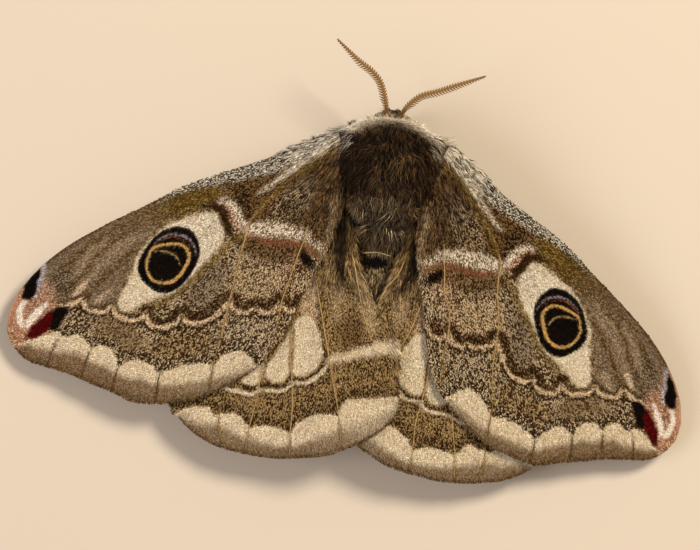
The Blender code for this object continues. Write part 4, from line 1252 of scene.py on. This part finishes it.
def makeWisps(skin):
    shapes, tones = [], []
    shapeOf = skin.evaluated_get(bpy.context.evaluated_depsgraph_get())
    chosen = [(wisps["rim"], wisps["rimAbove"], wisps["rimThick"], "wheat")]
    chosen += [(fork, wisps["forkedAbove"], wisps["forkedThick"], "bone") for fork in wisps["forked"]]

    def heightAt(x, y):
        above = Vector(toWorld(np.array([x, y, 20.0])))
        hit, place = shapeOf.ray_cast(above, Vector((0, 0, -1)))[:2]
        return place[2] / mm if hit else None

    for path, above, thick, tone in chosen:
        line = smoothPath(path, 12)
        heights = [heightAt(*place) or 5.0 for place in line]
        line = np.column_stack([line, np.array(heights) + above])
        shapes.append(tube(line, thick * np.linspace(1, 0.6, 12), 5))
        tones.append(np.tile(pigments[tone], (len(shapes[-1][0]), 1)))
    (left, right), (rear, front) = wisps["area"]
    shortest, longest = wisps["length"]
    for number in range(wisps["count"]):
        x, y = left + (right - left) * dice.random(), rear + (front - rear) * dice.random()
        heading = -math.pi / 2 - 0.12 * x + dice.normal(0, 0.3)
        stride = (shortest + (longest - shortest) * dice.random()) / (wisps["steps"] - 1)
        curl = dice.normal(0, wisps["curl"])
        path = []
        for step in range(wisps["steps"]):
            height = heightAt(x, y)
            if height is None:
                break
            path.append((x, y, height + wisps["above"] + 0.15 * math.sin(step)))
            x += math.cos(heading) * stride
            y += math.sin(heading) * stride
            heading += curl / (wisps["steps"] - 1)
        if len(path) < 5:
            continue
        line = smoothPath(path, 10)
        shapes.append(tube(line, wisps["thick"] * np.linspace(1, 0.4, 10), 4))
        tone = pigments["ash"] if dice.random() < 0.3 else pigments["sand"]
        tone = tone * (0.3 + 0.7 * dice.random() ** 2) * softStep(line[0, 1], 1.6, -0.6)
        tones.append(np.tile(np.maximum(tone, pigments["bark"]), (len(shapes[-1][0]), 1)))
    points, faces = joined(shapes)
    makePiece("loose_hair", points, faces, materials["hair"], np.vstack(tones),
              aroundBody(points))


makeWisps(skin)


# long hair at the wing roots
rootHair = {
    "forewing": {"count": 5200, "reach": 7.5, "length": 1.3, "turnDown": 0.25, "lockTurn": 0.16,
                 "lockTone": 0.16},
    "hindwing": {"count": 6500, "reach": 9.5, "length": 1.7, "turnDown": 0.3, "lockTurn": 0.14,
                 "lockTone": 0.14},
    "both": {"width": 0.055, "rise": 0.1, "lockSize": 16, "gather": 0.35, "stray": 0.12, "above": 0.04},
}


def makeRootHair(wingName, side):
    values = hairBase | rootHair["both"] | rootHair[wingName]
    shape = wingShapes[wingName]
    outline = shape["outline"]
    low = outline.min(axis=0)
    high = np.minimum(outline.max(axis=0), values["reach"] + 3)
    spots = low + (high - low) * dice.random((values["count"] * 12, 2))
    rearGap = pathDistance(spots, shape["rearPath"])[0]
    reach = np.hypot(spots[:, 0], 0.9 * spots[:, 1])
    keepChance = softStep(reach, values["reach"], 0.45 * values["reach"])
    edge = softStep(rearGap, 1.6, 0.2) * softStep(spots[:, 0], values["reach"], 4.0)
    kept = dice.random(len(spots)) < np.maximum(keepChance, edge) * insideOf(spots, outline)
    spots, rearGap = spots[kept][:values["count"]], rearGap[kept][:values["count"]]
    here, alongU, alongV, normal = wingFrame(spots, wingName, side)
    away = spots - np.array(scaleCoat["fan"])
    angle = np.arctan2(away[:, 1], away[:, 0]) - values["turnDown"] * softStep(rearGap, 4.0, 0.0)
    lean = np.stack([np.cos(angle), np.sin(angle)], axis=1)
    lengths = values["length"] * (1 - 0.55 * np.clip(np.hypot(*spots.T) / values["reach"], 0, 1))
    coat = wingCoat(spots + 0.6 * lengths[:, None] * lean, wingName, side)
    if wingName == "forewing":
        nearFront = pathDistance(spots, shape["frontPath"])[0]
        coat.lay(0.7 * softStep(nearFront, 1.6, 0.9) * softStep(spots[:, 0], 3, 0), "umber", "chalk", 0.6)
    makeHair(wingName + "_root_hair_" + side, here + normal * values["above"], normal,
             alongU * lean[:, :1] + alongV * lean[:, 1:], coat, bakeSpots(spots, wingName), values, lengths)


for wingName in wingShapes:
    for side in leftRight:
        makeRootHair(wingName, side)


# centre lines and radii of the legs, on the right side
legLines = {
    "fore": [(1.2, 5.0, 1.35, 0.5), (2.6, 5.2, 1.9, 0.55), (4.1, 5.2, 2.5, 0.5), (4.5, 5.0, 2.3, 0.45),
             (4.0, 5.2, 1.2, 0.42), (3.6, 5.5, 0.45, 0.34), (3.5, 5.9, 0.2, 0.28), (3.6, 7.3, 0.2, 0.28)],
    "middle": [(1.4, 2.9, 1.3, 0.55), (3.2, 2.9, 2.0, 0.6), (5.2, 2.7, 2.9, 0.55), (5.7, 2.6, 2.7, 0.48),
               (6.2, 2.2, 1.4, 0.42), (6.6, 1.9, 0.45, 0.34), (7.0, 1.7, 0.2, 0.28), (9.6, 0.9, 0.2, 0.28)],
    "hind": [(1.5, 0.4, 1.4, 0.55), (3.2, -0.3, 2.1, 0.6), (5.0, -1.3, 2.9, 0.55), (5.5, -1.8, 2.7, 0.48),
             (6.1, -3.4, 1.4, 0.42), (6.5, -4.6, 0.45, 0.34), (6.7, -5.1, 0.2, 0.28), (7.6, -8.0, 0.2, 0.28)],
}
legHair = {"count": 1150, "length": 0.55, "width": 0.045, "rise": 0.3, "lockSize": 8, "gather": 0.3,
           "stray": 0.2, "bend": 0.15, "steps": 40}
clawShape = {"length": 0.34, "thick": 0.05, "spread": 0.09, "steps": 6, "sides": 6}


def clawsAt(tip, ahead):
    # two claws at the tip of a foot, hooked down to the floor
    across = np.cross(ahead, [0, 0, 1.0])
    t = np.linspace(0, 1, clawShape["steps"])[:, None]
    drop = np.array([0, 0, 1.0]) * (0.05 + 0.12 * t - 0.27 * t ** 2)
    for sign in (-1, 1):
        apart = across * sign * clawShape["spread"] * (0.4 + t)
        hook = tip + ahead * (clawShape["length"] * t - 0.06) + apart + drop
        yield tube(hook, clawShape["thick"] * (1 - 0.85 * t[:, 0]), clawShape["sides"])


def makeLegCoat():
    values = hairBase | legHair
    steps = values["steps"]
    claws, columns = [], []
    for number, (pair, line) in enumerate(legLines.items()):
        for flip, side in enumerate(("right", "left")):
            mirror = np.array([1 - 2 * flip, 1, 1])
            centre = smoothPath(line, steps)[:, :3] * mirror
            tangents = unit(np.gradient(centre, axis=0))
            node = shrunkCopy("leg_" + pair + "_" + side)
            roots, normals = scatter(node, values["count"],
                                     lambda p, n: (p[:, 2] > 0.12) & (np.abs(p[:, 0]) > 1.9))
            bpy.data.objects.remove(node, do_unlink=True)
            near = np.linalg.norm(roots[:, None] - centre[None], axis=2).argmin(axis=1)
            angle = np.arctan2(normals[:, 0] * mirror[0], normals[:, 2]) / (2 * math.pi) + 0.5
            strip = (2 * number + flip + 0.05 + 0.9 * angle) / 6
            spots = np.stack([strip, 0.02 + 0.96 * near / steps], axis=1)
            columns.append((roots, normals, tangents[near], near / steps, spots))
            claws += clawsAt(centre[-1], unit(centre[-1] - centre[-3]))
    roots, normals, directions, share, spots = (np.concatenate([c[k] for c in columns]) for k in range(5))
    coat = Coat(len(roots), "mud", "fawn", 0.5)
    coat.lay(softStep(share, 0.55, 0.8), "umber", "sand", 0.35)
    joints = 0.5 + 0.5 * np.cos(share * 2 * math.pi * 14)
    coat.lay(softStep(share, 0.72, 0.8) * softStep(joints, 0.7, 0.95), "sand", "bone", 0.6)
    foot = softStep(share, 0.6, 0.85)
    makeHair("leg_hair", roots, normals, directions, coat, spots, values,
             values["length"] * (1 - 0.6 * foot), values["rise"] * (1 - 0.5 * foot))
    points, faces = joined(claws)
    makePiece("claws", points, faces, materials["horn"], 0.5 * pigments["rust"], smooth=True)
    print("legs done")


makeLegCoat()


# feelers: centre lines, then the rings of the shaft and the teeth on its two sides
feelers = {
    "left": [(-0.5, 8.25, 5.3), (-0.7, 8.6, 5.9), (-0.85, 9.1, 6.5), (-1.15, 10.0, 6.9), (-1.8, 11.5, 7.3),
             (-2.85, 12.5, 7.6), (-4.05, 13.2, 7.8), (-5.2, 14.05, 7.9), (-6.6, 15.1, 7.9)],
    "right": [(0.5, 8.25, 5.3), (0.7, 8.6, 5.9), (0.85, 9.1, 6.5), (1.35, 9.8, 6.9), (2.3, 10.7, 7.3),
              (3.9, 11.35, 7.6), (5.9, 12.3, 7.8), (8.3, 13.4, 7.9)],
    "segment": 0.28, "stepsPerSegment": 6, "sides": 10,
    "baseRadius": 0.17, "tipRadius": 0.09, "baseSwell": 0.13,
    "toothRear": 0.45, "toothFront": 0.22, "toothThick": 0.13, "toothSides": 6, "toothTone": 0.75,
    "bareBase": 1.1, "colour": "#84612c",
}


def makeFeeler(side):
    values = feelers
    line = values[side]
    length = np.linalg.norm(np.diff(smoothPath(line, 200), axis=0), axis=1).sum()
    segments = int(length / values["segment"])
    perSegment = values["stepsPerSegment"]
    path = smoothPath(line, segments * perSegment + 1)
    t = np.linspace(0, 1, len(path))
    phase = (np.arange(len(path)) % perSegment) / perSegment
    radii = values["baseRadius"] + (values["tipRadius"] - values["baseRadius"]) * t ** 0.8
    radii = radii * (0.86 + 0.2 * phase) + values["baseSwell"] * softStep(t * length, 1.2, 0.3)
    radii[-1] *= 0.4
    shapes = [tube(path, radii, values["sides"])]
    tones = [np.ones(len(shapes[0][0]))]
    tangents = unit(np.gradient(path, axis=0))
    sideways = unit(np.cross(tangents, [0.0, 0.0, 1.0]))
    down = np.array([0, 0, -0.25])
    s = np.linspace(0, 1, 5)[:, None]
    for at in range(perSegment, segments * perSegment, perSegment):
        beyondBase = t[at] * length - values["bareBase"]
        if beyondBase < 0:
            continue
        taper = min(1.0, 2.5 * (1 - t[at]) + 0.15) * min(1.0, 0.4 + beyondBase / 2)
        for sign in (-1, 1):
            rear = sign == (1 if side == "right" else -1)
            reach = taper * values["toothRear" if rear else "toothFront"]
            spine = (path[at] + sideways[at] * sign * (0.5 * radii[at] + reach * s)
                     + tangents[at] * reach * (0.15 * s + 0.5 * s ** 2) + down * reach * s)
            shapes.append(tube(spine, values["toothThick"] * (1 - 0.75 * s[:, 0]), values["toothSides"]))
            tones.append(np.full(len(shapes[-1][0]), values["toothTone"]))
    points, faces = joined(shapes)
    colours = np.concatenate(tones)[:, None] * linear(values["colour"])
    colours[:len(path) * values["sides"]] *= (0.75 + 0.4 * np.repeat(phase, values["sides"]))[:, None]
    piece = makePiece("feeler_" + side, points, faces, materials["horn"], colours, smooth=True)
    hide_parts("antenna_" + side)


for side in leftRight:
    makeFeeler(side)
print("feelers done")


eyeShape = {"facets": 900, "dome": 0.012, "inset": 0.02}


def makeEye(side):
    # a ball in its socket, with small domed facets
    low, high = (np.array(corner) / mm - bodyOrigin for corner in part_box("eye_" + side))
    centre, radius = (low + high) / 2, (high[2] - low[2]) / 2 - eyeShape["inset"]
    bpy.ops.object.select_all(action="DESELECT")
    bpy.ops.mesh.primitive_ico_sphere_add(subdivisions=5, radius=radius * mm, location=toWorld(centre))
    eye = bpy.context.object
    eye.name = "compound_eye_" + side
    bpy.ops.object.transform_apply(location=True, rotation=True, scale=True)
    # even facet centres along a spiral, each swelling into a small dome
    k = np.arange(eyeShape["facets"]) + 0.5
    polar = np.arccos(1 - 2 * k / eyeShape["facets"])
    turn = math.pi * (1 + math.sqrt(5)) * k
    facets = np.stack([np.cos(polar), np.sin(polar) * np.cos(turn), np.sin(polar) * np.sin(turn)], axis=1)
    place = pointsOf(eye.data)
    out = unit(place - centre)
    facetRadius = 2 / math.sqrt(eyeShape["facets"])
    nearness = (out @ facets.T).max(axis=1)
    away = np.clip(np.arccos(np.clip(nearness, -1, 1)) / facetRadius, 0, 1)
    place += out * (eyeShape["dome"] * (1 - away ** 2))[:, None]
    eye.data.vertices.foreach_set("co", toWorld(place).astype(np.float32).ravel())
    eye.data.shade_smooth()
    # each facet lighter at its top and darker where it meets the next: painted shade in the creases between
    # facets
    paintPoints(eye.data, pigments["bark"] * (1.1 - 0.7 * away[:, None]))
    eye.data.materials.append(materials["cornea"])
    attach(eye, "root")
    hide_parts("eye_" + side)


for side in leftRight:
    makeEye(side)
print("eyes done")


# soft boxes: place in metres, size, power and colour; camera: lens and film width in millimetres,
# turns in degrees about the long way, across and upright, and its place in millimetres
stageSet = {
    "floorColour": "#c4b8a6", "floorSize": 1.6,
    "lights": {"key_soft_box": ((0.22, 0.30, 0.42), 0.16, 3.7, "#fff3e2"),
               "fill_soft_box": ((-0.40, -0.10, 0.38), 0.35, 1.6, "#f4f1ff")},
    "skyColour": "#f3e6d4", "skyStrength": 0.45,
    "lens": 180.0, "sensor": 36.0,
    "turns": (("Y", -3.0), ("X", -2.3), ("Z", 7.5)), "place": (-2.96, -7.59, 350.0),
}


def makeFloor():
    bpy.ops.object.select_all(action="DESELECT")
    bpy.ops.mesh.primitive_plane_add(size=stageSet["floorSize"], location=(0, 0, 0))
    floor = bpy.context.object
    floor.name = "studio_floor"
    # uncoated card: pale and dead matt, so that only soft shadows show
    material = newMaterial("floor_matt_card", Roughness=0.9,
                           Base_Color=(*linear(stageSet["floorColour"]), 1.0))[0]
    floor.data.materials.append(material)


def makeLights():
    for name, (place, size, power, colour) in stageSet["lights"].items():
        light = bpy.data.lights.new(name, "AREA")
        light.shape = "DISK"
        light.size = size
        light.energy = power
        light.color = linear(colour)
        lamp = bpy.data.objects.new(name, light)
        lamp.location = place
        lamp.rotation_euler = (-Vector(place)).to_track_quat("-Z", "Y").to_euler()
        bpy.context.scene.collection.objects.link(lamp)
    world = bpy.context.scene.world or bpy.data.worlds.new("studio")
    bpy.context.scene.world = world
    world.use_nodes = True
    sky = world.node_tree.nodes["Background"]
    sky.inputs["Color"].default_value = (*linear(stageSet["skyColour"]), 1.0)
    sky.inputs["Strength"].default_value = stageSet["skyStrength"]
    bpy.context.scene.view_settings.view_transform = "Standard"


def makeCamera():
    # almost straight down, a little from the moth's left and front, and turned a few degrees
    turn = Matrix.Identity(3)
    for axis, angle in stageSet["turns"]:
        turn = turn @ Matrix.Rotation(math.radians(angle), 3, axis)
    camera = bpy.data.cameras.new("camera")
    camera.lens = stageSet["lens"]
    camera.sensor_width = stageSet["sensor"]
    camera.clip_start = 0.01
    viewer = bpy.data.objects.new("camera", camera)
    matrix = turn.to_4x4()
    matrix.translation = Vector(toWorld(np.array(turn @ Vector(stageSet["place"]))))
    viewer.matrix_world = matrix
    bpy.context.scene.collection.objects.link(viewer)
    bpy.context.scene.camera = viewer


makeFloor()
makeLights()
makeCamera()
print("stage done")
